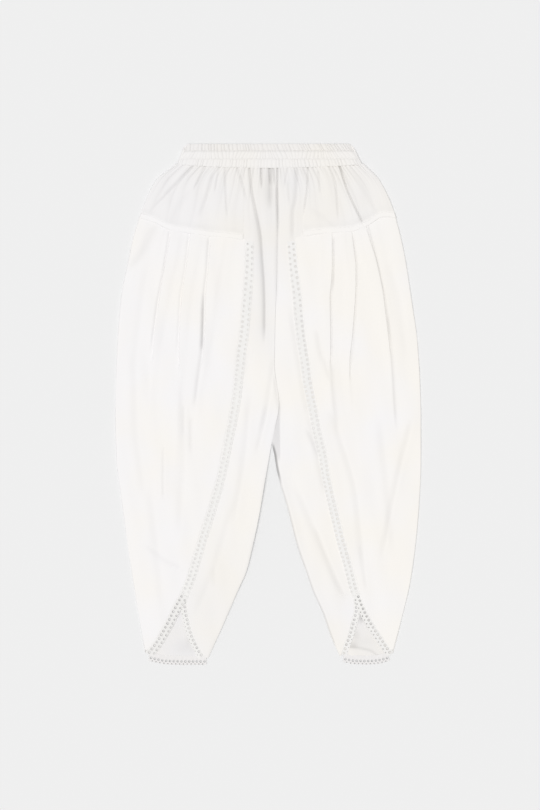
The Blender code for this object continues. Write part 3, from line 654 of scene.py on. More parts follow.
def back_folds(x: Array, y: Array) -> Array:
    """Low creases of the back, which rise from the surface that the garment lies on."""
    highest = sum(share for *_, share in BACK_SWELLS)
    return BACK_RISE * np.clip(rolling(x, y, BACK_SWELLS) / highest, 0.0, 1.0) ** BACK_SHAPE


# How far the legs' inner edges curl up
EDGE_LIFTS = Table(
    "y left right",
    (-40, 0.0, 0.0), (-75, 1.0, 0.8), (-110, 3.4, 2.0), (-150, 5.2, 3.2), (-230, 5.2, 2.8), (-280, 4.0, 2.2),
    (-330, 3.2, 1.6), (-380, 2.4, 1.4), (-430, 1.4, 1.0), (-450, 0.5, 0.6),
)
LIFT_WIDTHS = {Side.LEFT: 17.0, Side.RIGHT: 11.0}


def edge_lift(side: Side, from_edge: Array, y: Array) -> Array:
    """How far the inner edge of a leg curls up from the surface."""
    return EDGE_LIFTS.read(side.value, y) * bell(from_edge, LIFT_WIDTHS[side])


def smooth_sections(controls: Array, steps: list[int]) -> Array:
    """Refines rows of control points with curves that never swing past them.

    Args:
        controls: Array of rows × points × 2, the points of each row's section.
        steps: How many parts each stretch between two points is cut into.

    Returns:
        Array of rows × refined points × 2.
    """
    points = np.moveaxis(controls, 1, 0)
    stretches = np.diff(points, axis=0)
    chords = np.maximum(np.linalg.norm(stretches, axis=2, keepdims=True), 1e-4)
    slopes = even_slopes(stretches / chords)
    parts = []
    for index, count in enumerate(steps):
        t = np.arange(count)[:, None, None] / count
        ends = slice(index, index + 2)
        parts.append(curve(t, chords[index], points[ends], slopes[ends]))
    return np.moveaxis(np.concatenate([*parts, points[-1:]]), 0, 1)


def grid_faces(rows: int, columns: int, ring: bool, start: int = 0) -> Array:
    """Quads of a grid of points numbered row by row.

    Args:
        rows: Number of rows.
        columns: Number of points in a row.
        ring: Whether each row closes on itself.
        start: Number of the first point.

    Returns:
        Array of quads × 4 point numbers.
    """
    i, j = np.meshgrid(np.arange(rows - 1) * columns, np.arange(columns if ring else columns - 1), indexing="ij")
    k = (j + 1) % columns
    return start + np.stack([i + j, i + k, i + columns + k, i + columns + j], -1).reshape(-1, 4)


def lengths_along(points: Array, axis: int) -> Array:
    """Distance from the first point along one axis of a grid of points."""
    steps = np.linalg.norm(np.diff(points, axis=axis), axis=2)
    start = np.zeros_like(np.take(steps, [0], axis=axis))
    return np.concatenate([start, np.cumsum(steps, axis=axis)], axis=axis)


def finish_piece(
    name: str, points: Array, faces: list, material: bpy.types.Material, uv: Array | None = None,
    shade: Array | None = None,
) -> bpy.types.Object:
    """Makes a mesh object with its place in its mesh, smooth and with its faces outward.

    Args:
        name: The piece's name.
        points: Points in millimetres, n × 3.
        faces: Point numbers of each face.
        material: The piece's finish.
        uv: Two numbers for each point of cloth, in metres along it. Cloth gets sharp rims.
        shade: Painted shade, the share of its light that each point of cloth keeps.

    Returns:
        The new object.
    """
    mesh = bpy.data.meshes.new(name)
    mesh.from_pydata((points * MM).tolist(), [], faces)
    bm = bmesh.new()
    bm.from_mesh(mesh)
    bmesh.ops.recalc_face_normals(bm, faces=bm.faces)
    bm.to_mesh(mesh)
    bm.free()
    mesh.shade_smooth()
    if uv is not None:
        corners = np.empty(len(mesh.loops), np.int32)
        mesh.loops.foreach_get("vertex_index", corners)
        mesh.uv_layers.new(name="cloth").data.foreach_set("uv", uv[corners].astype(np.float32).ravel())
        mesh.attributes.new("shade", "FLOAT", "POINT").data.foreach_set("value", shade.astype(np.float32))
        mesh.set_sharp_from_angle(angle=radians(70))
    mesh.materials.append(material)
    item = bpy.data.objects.new(name, mesh)
    bpy.context.scene.collection.objects.link(item)
    return item


def closed_shell(
    name: str, outer: Array, inner: Array, material: bpy.types.Material, shade: Array, ring: bool = False
) -> bpy.types.Object:
    """A closed wall between two grids of points.

    Args:
        name: The piece's name.
        outer: Grid of the outer face, rows × columns × 3, in millimetres.
        inner: Grid of the inner face, the same size.
        material: The piece's finish.
        shade: The share of its light that each point of the grid keeps.
        ring: Whether each row closes on itself.

    Returns:
        The new object.
    """
    rows, columns = outer.shape[:2]
    count = rows * columns
    along = np.arange(columns if ring else columns - 1)
    rims = [(row + along, row + (along + 1) % columns) for row in (0, count - columns)]
    if not ring:
        down = np.arange(rows - 1) * columns
        rims += [(down + column, down + columns + column) for column in (0, columns - 1)]
    faces = [grid_faces(rows, columns, ring), grid_faces(rows, columns, ring, count)[:, ::-1]]
    faces += [np.stack([a, b, b + count, a + count], -1) for a, b in rims]
    uv = np.stack([lengths_along(outer, 1), lengths_along(outer, 0)], -1).reshape(-1, 2) * MM
    points = np.concatenate([outer.reshape(-1, 3), inner.reshape(-1, 3)])
    kept = np.broadcast_to(shade, outer.shape[:2]).ravel()
    return finish_piece(name, points, np.concatenate(faces).tolist(), material, np.tile(uv, (2, 1)), np.tile(kept, 2))


def grid_normals(middle: Array, ring: bool = False) -> Array:
    """Unit normals of a grid of points.

    Args:
        middle: The points, rows × columns × 3.
        ring: Whether each row closes on itself.

    Returns:
        Normals, in the same order.
    """
    if ring:
        across = np.roll(middle, -1, axis=1) - np.roll(middle, 1, axis=1)
    else:
        across = np.gradient(middle, axis=1)
    normals = np.cross(across, np.gradient(middle, axis=0))
    return normals / np.maximum(np.linalg.norm(normals, axis=2, keepdims=True), 1e-9)


def declare(
    piece: bpy.types.Object, node: str, flat: tuple[float, float, float], rests: list[str]
) -> None:
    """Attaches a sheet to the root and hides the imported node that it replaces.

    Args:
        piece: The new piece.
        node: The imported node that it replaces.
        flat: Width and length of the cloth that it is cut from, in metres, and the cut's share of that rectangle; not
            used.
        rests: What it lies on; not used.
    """
    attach(piece, "root")
    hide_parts(node)


class Graph:
    """The nodes of a new material round its Principled shader."""

    def __init__(self, name: str, inputs: dict[str, float | Paint]) -> None:
        """Makes the material.

        Args:
            name: The material's name.
            inputs: Values of the shader.
        """
        self.material = bpy.data.materials.new(name)
        self.material.use_nodes = True
        self.shader = self.material.node_tree.nodes["Principled BSDF"]
        self.fill(self.shader, inputs)

    def fill(self, node: bpy.types.Node, inputs: dict[str | int, float | Socket]) -> None:
        """Gives a node's inputs their values, or joins them to other nodes' outputs.

        Args:
            node: The node.
            inputs: A value or another node's output for each input.
        """
        for key, value in inputs.items():
            if isinstance(value, Socket):
                self.material.node_tree.links.new(value, node.inputs[key])
            else:
                node.inputs[key].default_value = value

    def add(self, kind: str, output: str, inputs: dict[str | int, float | Socket], **settings: str) -> Socket:
        """Adds a node.

        Args:
            kind: The end of its type's name.
            output: Name of the output that is used.
            inputs: A value or another node's output for each input.
            settings: The node's own settings.

        Returns:
            That output.
        """
        node = self.material.node_tree.nodes.new("ShaderNode" + kind)
        for key, value in settings.items():
            setattr(node, key, value)
        self.fill(node, inputs)
        return node.outputs[output]

    def ramp(self, value: Socket, *stops: tuple[float, Paint]) -> Socket:
        """A colour that changes between two stops.

        Args:
            value: Place on the ramp.
            stops: The two stops, each as its place and its colour.

        Returns:
            The colour.
        """
        colour = self.add("ValToRGB", "Color", {"Fac": value})
        for element, (position, paint) in zip(colour.node.color_ramp.elements, stops):
            element.position, element.color = position, paint
        return colour

    def finish(self, colour: Socket, height: Socket, strength: float, depth: float) -> bpy.types.Material:
        """Gives the shader its colour and a fine relief.

        Args:
            colour: The colour.
            height: The relief.
            strength: How strongly it shows.
            depth: Its depth in metres.

        Returns:
            The finished material.
        """
        normal = self.add("Bump", "Normal", {"Strength": strength, "Distance": depth, "Height": height})
        self.fill(self.shader, {"Base Color": colour, "Normal": normal})
        return self.material


# How many units of a wave texture's scale make a band to a metre
WAVE_UNITS = 20


@dataclass(frozen=True)
class Cotton:
    """Finish of the off-white cotton: a fine plain weave with slubs, warmer and cooler in broad soft patches.

    The lowest layers, which the camera sees deep between others, are painted a little darker as painted shade, and so
    are the hollows that a piece's own "shade" attribute marks with painted shade.
    """

    name: str = "cotton"
    warm: Paint = (0.872, 0.845, 0.806, 1.0)
    cool: Paint = (0.858, 0.845, 0.846, 1.0)
    roughness: float = 0.88
    sheen: float = 0.12
    sheen_roughness: float = 0.6
    specular: float = 0.25
    threads_per_metre: float = 2600.0
    weave_depth: float = 0.00004
    weave_strength: float = 0.35
    patch_scale: float = 7.0
    turn_across: float = 0.45
    low_shade: float = 0.93
    low_from: float = 0.0009
    low_to: float = 0.0021
    slub_scale: tuple[float, float, float] = (900.0, 90.0, 1.0)

    def make(self) -> bpy.types.Material:
        """Builds the node material on the piece's own UV map, which is in metres.

        Returns:
            The material.
        """
        graph = Graph(self.name, {
            "Roughness": self.roughness, "Sheen Weight": self.sheen, "Sheen Roughness": self.sheen_roughness,
            "Specular IOR Level": self.specular,
        })
        at, uv = (graph.add("TexCoord", output, {}) for output in ("Object", "UV"))
        x, z = (graph.add("SeparateXYZ", output, {"Vector": at}) for output in "XZ")
        patches = graph.add("TexNoise", "Fac", {"Scale": self.patch_scale, "Detail": 2.0, "Vector": at})
        turned = graph.add("Math", "Value", {0: x, 1: -self.turn_across, 2: patches}, operation="MULTIPLY_ADD")
        tint = graph.ramp(turned, (0.35, self.warm), (0.65, self.cool))
        # Painted shade: cloth low down is darker, times the painted shade in the piece's "shade" attribute
        low = graph.add("MapRange", "Result", {
            "Value": z, "From Min": self.low_from, "From Max": self.low_to, "To Min": self.low_shade, "To Max": 1.0
        }, interpolation_type="SMOOTHSTEP")
        hollow = graph.add("Attribute", "Fac", {}, attribute_name="shade")
        kept = graph.add("Math", "Value", {0: low, 1: hollow}, operation="MULTIPLY")
        colour = graph.add("VectorMath", "Vector", {0: tint, "Scale": kept}, operation="SCALE")
        bands = {
            "Vector": uv, "Scale": self.threads_per_metre / WAVE_UNITS, "Distortion": 0.6, "Detail": 1.0,
            "Detail Scale": 0.4,
        }
        warp, weft = (graph.add("TexWave", "Fac", bands, bands_direction=direction) for direction in "XY")
        weave = graph.add("Math", "Value", {0: warp, 1: weft}, operation="MULTIPLY")
        stretch = graph.add("Mapping", "Vector", {"Scale": self.slub_scale, "Vector": uv})
        slubs = graph.add("TexNoise", "Fac", {"Scale": 1.0, "Detail": 3.0, "Vector": stretch})
        threads = graph.add("Math", "Value", {0: weave, 1: slubs}, operation="ADD")
        return graph.finish(colour, threads, self.weave_strength, self.weave_depth)


@dataclass(frozen=True)
class Thread:
    """Finish of twisted cotton thread, for stitches, and for lace with the edges of its holes in shade."""

    name: str
    colour: Paint
    roughness: float = 0.8
    specular: float = 0.3
    twists_per_metre: float = 900.0
    twist_depth: float = 0.00003
    twist_strength: float = 0.5
    patch_scale: float = 260.0
    dark_share: float = 0.95
    shaded: bool = False

    def make(self) -> bpy.types.Material:
        """Builds the node material with a fine twist in the thread.

        Returns:
            The material.
        """
        graph = Graph(self.name, {"Roughness": self.roughness, "Specular IOR Level": self.specular})
        at = graph.add("TexCoord", "Object", {})
        patches = graph.add("TexNoise", "Fac", {"Scale": self.patch_scale, "Vector": at})
        dark = tuple(self.dark_share * c for c in self.colour[:3]) + (1.0,)
        colour = graph.ramp(patches, (0.3, dark), (0.7, self.colour))
        # Lace carries painted shade at its rims and the edges of its holes
        if self.shaded:
            hollow = graph.add("Attribute", "Fac", {}, attribute_name="shade")
            colour = graph.add("VectorMath", "Vector", {0: colour, "Scale": hollow}, operation="SCALE")
        bands = {"Vector": at, "Scale": self.twists_per_metre / WAVE_UNITS, "Distortion": 1.0}
        twist = graph.add("TexWave", "Fac", bands, bands_direction="DIAGONAL")
        return graph.finish(colour, twist, self.twist_strength, self.twist_depth)


@dataclass
class ClothPiece:
    """One cut piece of cloth of one side, as a thin wall on its middle surface."""

    cut: Cut
    kind: ClassVar[str]
    held: ClassVar[str]
    lies_on: ClassVar[str]
    flats: ClassVar[dict[Side, tuple[float, float, float]]]
    lowest: ClassVar[float] = 0.02

    def middle(self) -> Array:
        """The piece's middle surface, rows × columns × 3."""
        raise NotImplementedError

    def shade(self, x: Array, y: Array) -> Array:
        """The share of its light that each point keeps."""
        raise NotImplementedError

    def build(self, cotton: bpy.types.Material) -> bpy.types.Object:
        """Args:
            cotton: Its finish.

        Returns:
            The new piece.
        """
        name = f"{self.kind}_{self.cut.name}"
        middle = self.middle()
        half = grid_normals(middle) * CLOTH / 2
        faces = [middle + half, middle - half]
        for face in faces:
            face[..., 2] = np.maximum(face[..., 2], self.lowest)
        piece = closed_shell("cloth_" + name, *faces, cotton, self.shade(middle[..., 0], middle[..., 1]))
        declare(piece, name, self.flats[self.cut.side], [f"cloth_{self.lies_on}_{self.cut.name}"])
        return piece


@dataclass
class FrontPanel(ClothPiece):
    """A centre front panel, which runs on down the inner leg and ends as the inner petal."""

    kind = "front"
    held = "laid"
    lies_on = "leg"
    flats = {Side.LEFT: (0.150, 0.905, 0.58), Side.RIGHT: (0.130, 0.900, 0.58)}

    columns: int = 72
    row_step: float = 3.6
    row_growth: float = 1.12
    under_yoke: float = 0.56
    beside_yoke: float = 24.0
    beside_yoke_end: tuple[float, float] = (320.0, 299.0)
    laced_below: tuple[float, float] = (9.0, -12.0)
    foot_above: tuple[float, float] = (34.0, -6.0)
    foot_margin: float = 0.06
    over_back: float = 0.85
    edge_level: float = 0.62
    edge_roll: float = 5.0
    edge_open: tuple[float, float] = (LEGS_PART, CROTCH + 20)
    hollow_level: float = 0.75
    hollow_across: tuple[float, float] = (19.6, 22.4)
    hollow_ends: tuple[tuple[float, float], ...] = ((-8.0, 6.0), (-88.0, -112.0))
    lap_end: tuple[float, float] = (CROTCH + 10.0, 75.0)
    laps: ClassVar[dict[Side, tuple[float, float]]] = {Side.LEFT: (0.6, 6.0), Side.RIGHT: (-0.4, 7.0)}
    under_lace: tuple[float, float] = (5.5, 7.0)
    band_blend: float = 25.0

    def flat_to(self, y: Array) -> Array:
        """Where the panel's puff starts, out at the lace.

        Args:
            y: Height on the garment.

        Returns:
            Distance from the middle.
        """
        top = YOKE_EDGES.read(self.cut.name, y) - 2 * CLOTH_ROOM
        laced = LONG_LACES.read(self.cut.name, y) - LACE_WIDTH / 2 - CLOTH_ROOM
        low = mix(self.cut.petal_foot_edge(y), self.cut.inner(y), self.foot_margin)
        upper = mix(laced, top, fade(y - YOKE_SEAMS.columns["left"][0], *self.laced_below))
        return mix(low, upper, fade(y - OPENING_APEX, *self.foot_above))

    def level(self, out: Array, y: Array) -> Array:
        """Height of the panel where it lies flat; beside the yoke it lies just under the yoke's edge."""
        edge = YOKE_EDGES.read(self.cut.name, y)
        near = fade(out, edge, edge - self.beside_yoke) * fade(y, *self.beside_yoke_end)
        return mix(LEVELS.read("panel", y), YOKE_SIDE_LEVELS.read("level", y) - self.under_yoke, near)

    def height(self, out: Array, y: Array) -> Array:
        """Height of the panel's middle at any point.

        Args:
            out: Distance from the middle towards the panel's side.
            y: Height on the garment.

        Returns:
            Height above the surface that the garment lies on, in millimetres.
        """
        x, side = out * self.cut.side.sign, self.cut.side
        inner, flat_to = self.cut.inner(y), self.flat_to(y)
        span = flat_to - inner
        puff = PANEL_PUFF * np.minimum(1.0, span / PANEL_FULL_WIDTH) * arch((flat_to - out) / span)
        height = stay_above(self.level(out, y) + puff + DRAPE.height(x, y), BACK_LEVEL + self.over_back)
        from_edge = np.maximum(out - inner, 0.0)
        lift = edge_lift(side, from_edge, y)
        below_crotch = fade(y, *self.edge_open)
        rolled = (1 - np.clip(from_edge / self.edge_roll, 0, 1)) ** 2
        height = mix(height + lift, BACK_LEVEL + self.edge_level + lift, rolled * below_crotch)
        height = height + (1 - below_crotch) * self.seam_lap(from_edge, y)
        if side is Side.LEFT:
            return height
        # Under the crotch the right panel's cloth drops into a hollow that the left one's edge covers
        hollow = fade(x, *self.hollow_across) * window(y, *self.hollow_ends)
        return mix(height, BACK_LEVEL + self.hollow_level + lift, hollow)

    def seam_lap(self, from_edge: Array, y: Array) -> Array:
        """At the centre seam the left panel's edge rolls a little over the right one's, more so near the crotch."""
        rise, width = self.laps[self.cut.side]
        return rise * fade(y, *self.lap_end) * bell(from_edge, width)

    def shade(self, x: Array, y: Array) -> Array:
        """Painted shade of the panel: darker in its creases, under the holes of the lace, and by height as its table
        gives.

        Args:
            x: Place across the garment.
            y: Height on the garment.

        Returns:
            The share of its light that each point keeps.
        """
        name, top = self.cut.name, LONG_LACES.keys[-1]
        from_lace = np.abs(np.abs(x) - LONG_LACES.read(name, y))
        ends = (top - 3.0, top), (OPENING_APEX + 9.0, OPENING_APEX + 4.0)
        under = fade(from_lace, *self.under_lace) * window(y, *ends)
        light = DRAPE.shade(x, y) * PANEL_PAINTED_SHADES.read(name, y) * (1 - under * LACE_SHADES.read(name, y))
        return light * self.crotch_shade(x, y) if self.cut.side is Side.RIGHT else light

    def crotch_shade(self, x: Array, y: Array) -> Array:
        """Painted shadow in the hollow under the crotch and along the right leg's edge, between the legs.

        Args:
            x: Place across the garment.
            y: Height on the garment.

        Returns:
            The share of its light that each point keeps.
        """
        from_edge = x - self.cut.inner(y)
        light = 1.0
        for darkness, away, across, *ends in (
            (0.14, x, (19.8, 22.6), (-2.0, 6.0), (-90.0, -108.0)),
            (0.40, from_edge, (2.8, 5.0), (-78.0, -68.0), (-122.0, -146.0)),
            (0.15, from_edge, (1.6, 3.6), (-84.0, -72.0), (-425.0, -445.0)),
        ):
            light = light * (1 - darkness * fade(away, *across) * window(y, *ends))
        return light

    def middle(self) -> Array:
        """The panel's middle surface, from under the waistband to the hem.

        Returns:
            Points, rows × columns × 3.
        """
        foot = PANEL_FOOT[self.cut.side]
        count = round((BAND_FOOT - foot) / self.row_step)
        y = mix(BAND_FOOT, foot, np.linspace(0, 1, count + 1) ** self.row_growth)
        y = np.concatenate([y[y > OPENING_APEX], [OPENING_APEX - 0.5], y[y < OPENING_APEX - 1]])[:, None]
        out = mix(self.cut.panel_edge(y), self.cut.inner(y), np.linspace(0, 1, self.columns)[None])
        x = out * self.cut.side.sign
        place = y + fade(y, BAND_FOOT, BAND_FOOT - self.band_blend) * (band_foot(x) + TUCKED_IN_BAND - BAND_FOOT)
        return np.stack([x, place, self.height(out, place)], -1)


@dataclass
class Leg(ClothPiece):
    """Outer petal with its knife pleats, side fold and back of one leg, in one wrap-round piece.

    For each pleat, depths says how far its fold lies under it at the yoke, folded_to the height where the fold
    ends, and faded_at the height where its ridge has faded.
    """

    kind = "leg"
    held = "folded"
    lies_on = "yoke"
    flats = {Side.LEFT: (0.600, 0.800, 0.70), Side.RIGHT: (0.575, 0.800, 0.69)}

    depths: tuple[float, float, float]
    folded_to: tuple[float, float, float]
    faded_at: tuple[float, float, float]
    row_step: float = 4.3
    row_growth: float = 1.1
    layer: float = 1.0
    layer_at_seam: float = 0.6
    slope_start: float = 14.0
    slope_end: float = 3.0
    opening: float = 45.0
    open_ridge: float = 1.6
    open_shape: tuple[tuple[float, float], ...] = (
        (-15, 0), (-8, 0.6), (-3.5, 1.0), (-1.5, 0.9), (0, 0.6), (1.5, 0.3), (3.5, 0.05), (6, 0)
    )
    full_width: float = 130.0
    seam_press: float = 0.7
    press_below_seam: float = 22.0
    layer_below_seam: float = 18.0
    tuck_below_seam: float = 12.0
    fold_ease: float = 0.7
    fine_foot: float = 30.0
    over_panel: float = 1.55
    edge_settle: float = 0.5
    edge_settle_width: float = 5.0
    back_flat: tuple[float, float] = (30.0, 4.0)
    turn_height: float = 10.0
    turn_wave: tuple[float, float, float] = (2.2, 24.0, 1.0)
    turn_rises: ClassVar[dict[Side, float]] = {Side.LEFT: 0.35, Side.RIGHT: 0.6}
    turn_edge: tuple[float, float] = (-0.9, 0.9)
    turn_shade: tuple[float, float, float] = (0.13, 0.8, 2.2)
    side_shares: tuple[float, ...] = (0.12, 0.25, 0.5, 0.78)
    side_turns: tuple[float, ...] = (60, 20, -20, -60)
    back_shares: tuple[float, ...] = (0.06, 0.3, 0.5, 0.7, 0.88, 1.0)
    steps_to_pleat: tuple[int, ...] = (18, 22, 20)
    pleat_steps: tuple[int, ...] = (4, 6, 2, 2, 4, 2, 2)
    side_steps: tuple[int, ...] = (9, 8, 9, 8, 6, 2, 2, 2, 2, 2)
    back_steps: tuple[int, ...] = (6, 11, 9, 9, 8, 6)

    def span(self, y: Array) -> tuple[Array, Array]:
        """Where the front lies flat: from its edge at the lace to the start of its side fold."""
        radius = (LEVELS.read("petal", y) - CLOTH_ROOM / 2) / 2
        return self.cut.petal_edge(y), self.cut.leg_side(y) - CLOTH_ROOM / 2 - radius

    def base(self, out: Array, y: Array) -> Array:
        """Height of the front's flat cloth, without pleats.

        Args:
            out: Distance from the middle.
            y: Height on the garment.

        Returns:
            Height at each point, in millimetres.
        """
        edge, end = self.span(y)
        puff = LEG_PUFF * np.minimum(1.0, (end - edge) / self.full_width) * arch((out - edge) / (end - edge))
        at_seam = fade(y, LEG_TOP, LEG_TOP - self.press_below_seam)
        return LEVELS.read("petal", y) + puff * (1 - at_seam) - self.seam_press * at_seam

    def relief(self, x: Array, y: Array, height: Array) -> Array:
        """A height with the shared relief on it, kept above the layers below."""
        return stay_above(height + DRAPE.height(x, y), BACK_LEVEL + self.over_panel)

    def settle(self, from_edge: Array) -> Array:
        """How far the petal's edge sinks to the panel under it."""
        return self.edge_settle * (1 - np.clip(from_edge / self.edge_settle_width, 0, 1)) ** 2

    def pleat_place(self, name: str, y: Array) -> Array:
        """Where a pleat's folded edge lies. Below its table it runs on to its share of the narrowing front.

        Args:
            name: The pleat's column in the table.
            y: Heights of the rows.

        Returns:
            Distance from the middle.
        """
        table = PLEATS[self.cut.side]
        edge, end = self.span(np.array(PLEATS_LOW))
        share = (table.read(name, PLEATS_LOW) - edge) / (end - edge)
        share = mix(PLEAT_SHARES_AT_HEM[name], share, fade(y, PLEATS_LOW, LEG_FOOT))
        return np.where(y >= PLEATS_LOW, table.read(name, y), mix(*self.span(y), share))

    def pleat(self, name: str, depth: float, folded_to: float, faded_at: float, y: Array) -> list[Array]:
        """Control points of one pleat on every row.

        Args:
            name: The pleat's column in the table.
            depth: How far its fold lies under it at the yoke.
            folded_to: Height where the fold ends.
            faded_at: Height where its ridge has faded.
            y: Heights of the rows.

        Returns:
            Eight arrays of rows × 2, as (out, height).
        """
        fold = self.pleat_place(name, y)
        edge, end = self.span(y)
        scale = np.minimum(1.0, (end - edge) / self.full_width)
        folded = np.clip((y - folded_to) / (LEG_TOP - folded_to), 0.0, 1.0)
        opened = 1 - fade(y, folded_to, folded_to - self.opening)
        ridge = self.open_ridge * fade(y, folded_to, faded_at)
        layer = mix(self.layer, self.layer_at_seam, fade(y, LEG_TOP, LEG_TOP - self.layer_below_seam))
        radius = layer / 2
        deep = -mix(self.layer + 0.5, depth, folded**self.fold_ease)
        closed = (
            (deep - self.slope_start, 0), (deep - self.slope_end, 2 * layer - 0.5 * layer / self.layer),
            (-radius, 2 * layer), (0, 2 * layer - radius), (-radius, layer), (radius + deep, layer),
            (deep, radius), (radius + deep, 0),
        )
        points = []
        for (closed_out, closed_up), (open_out, open_up) in zip(closed, self.open_shape):
            out = fold + mix(closed_out, open_out * scale, opened)
            points.append(np.stack([out, self.base(out, y) + mix(closed_up, open_up * ridge, opened)], -1))
        return points

    def controls(self, y: Array) -> Array:
        """Control points of every row's section, from the lace's edge round the side to the inner edge.

        Args:
            y: Heights of the rows.

        Returns:
            Rows × points × 2, as (out, height).
        """
        edge, end = self.span(y)
        points = [np.stack([edge, self.base(edge, y)], -1)]
        for name, *sizes in zip(PLEAT_SHARES_AT_HEM, self.depths, self.folded_to, self.faded_at):
            points += self.pleat(name, *sizes, y)
        last = points[-1][:, 0]
        for share in (*self.side_shares, 1.0):
            out = mix(last, end, share)
            points.append(np.stack([out, self.base(out, y)], -1))
        radius = (self.base(end, y) - BACK_LEVEL) / 2
        for turn in np.radians(self.side_turns):
            points.append(np.stack([end + radius * np.cos(turn), BACK_LEVEL + radius * (1 + np.sin(turn))], -1))
        near_foot = fade(y, LEG_FOOT, LEG_FOOT + HEM_REACH)
        inner = self.cut.inner(y + near_foot * (self.cut.hem(self.cut.inner(y)) - LEG_FOOT))
        for share in (0.0, *self.back_shares):
            points.append(np.stack([mix(end, inner, share), np.full_like(y, BACK_LEVEL)], -1))
        return np.stack(points, axis=1)

    def middle(self) -> Array:
        """The leg's middle surface.

        Returns:
            Points, rows × columns × 3.
        """
        count = round((LEG_TOP - LEG_FOOT) / self.row_step)
        y = mix(LEG_TOP, LEG_FOOT, np.linspace(0, 1, count + 1) ** self.row_growth)
        low = y[y < LEG_FOOT + self.fine_foot]
        y = np.sort(np.append(y, (low[1:] + low[:-1]) / 2))[::-1]
        steps = [step for to_pleat in self.steps_to_pleat for step in (to_pleat, *self.pleat_steps)]
        steps += [*self.side_steps, *self.back_steps]
        out, height = np.moveaxis(smooth_sections(self.controls(y), steps), 2, 0)
        on_back = np.arange(out.shape[1])[None] >= sum(steps[: -len(self.back_steps) - 3])
        rows = y[:, None]
        seam = np.where(on_back, self.cut.back_seam(out), self.cut.front_seam(out))
        place = rows + fade(rows, LEG_TOP, SEAM_REACH) * (seam - LEG_TOP)
        place = place + TUCKED * fade(rows, LEG_TOP, LEG_TOP - self.tuck_below_seam)
        near_foot = on_back * fade(rows, LEG_FOOT, LEG_FOOT + HEM_REACH)
        place = place + near_foot * (self.cut.hem(out) - LEG_FOOT)
        x = out * self.cut.side.sign
        level = self.base(out, rows)
        top_share = np.clip((height - BACK_LEVEL) / (level - BACK_LEVEL), 0.0, 1.0)
        raised = self.relief(x, place, np.maximum(height, level)) + np.minimum(height - level, 0.0)
        front = mix(height, raised, ~on_back * top_share) - ~on_back * self.settle(out - self.span(rows)[0])
        from_inner = np.abs(out - self.cut.inner(place))
        back_rise = back_folds(x, place) * fade(from_inner, *self.back_flat)
        back_rise = back_rise + edge_lift(self.cut.side, from_inner, place) + self.hem_turn(out, place)
        return np.stack([x, place, front + self.flat_back(x) * back_rise], -1)

    def flat_back(self, x: Array) -> Array:
        """Which of a row's points lie flat on the surface below."""
        columns = x.shape[1]
        return np.arange(columns)[None] >= columns - sum(self.back_steps)

    def shade(self, x: Array, y: Array) -> Array:
        """Painted shade of the front's creases, and of the inside of the back, with the line of the hem's turned edge.

        Args:
            x: Place across the garment.
            y: Height on the garment.

        Returns:
            The share of its light that each point keeps.
        """
        inside = np.ones_like(x)
        for at_x, at_y, reach_x, reach_y, darkness in HEM_SHADES[self.cut.side]:
            inside -= darkness * bell(x - at_x, reach_x) * bell(y - at_y, reach_y)
        if self.cut.side is Side.RIGHT:
            darkness, above, reach = self.turn_shade
            inside -= darkness * bell(y - self.turn_line(np.abs(x)) - above, reach)
        return np.where(self.flat_back(x), inside, DRAPE.shade(x, y))

    def turn_line(self, out: Array) -> Array:
        """Upper edge of the hem's turned cloth.

        Args:
            out: Distance from the middle.

        Returns:
            Its height on the garment.
        """
        if self.cut.side is Side.RIGHT:
            return HEM_TURN.read("y", out)
        rise, length, start = self.turn_wave
        return self.cut.hem(out) + self.turn_height + rise * np.sin(out / length + start)

    def hem_turn(self, out: Array, y: Array) -> Array:
        """The hem's cloth is turned up inside the back, a second layer whose edge shows in the opening."""
        return self.turn_rises[self.cut.side] * fade(y - self.turn_line(out), *self.turn_edge)


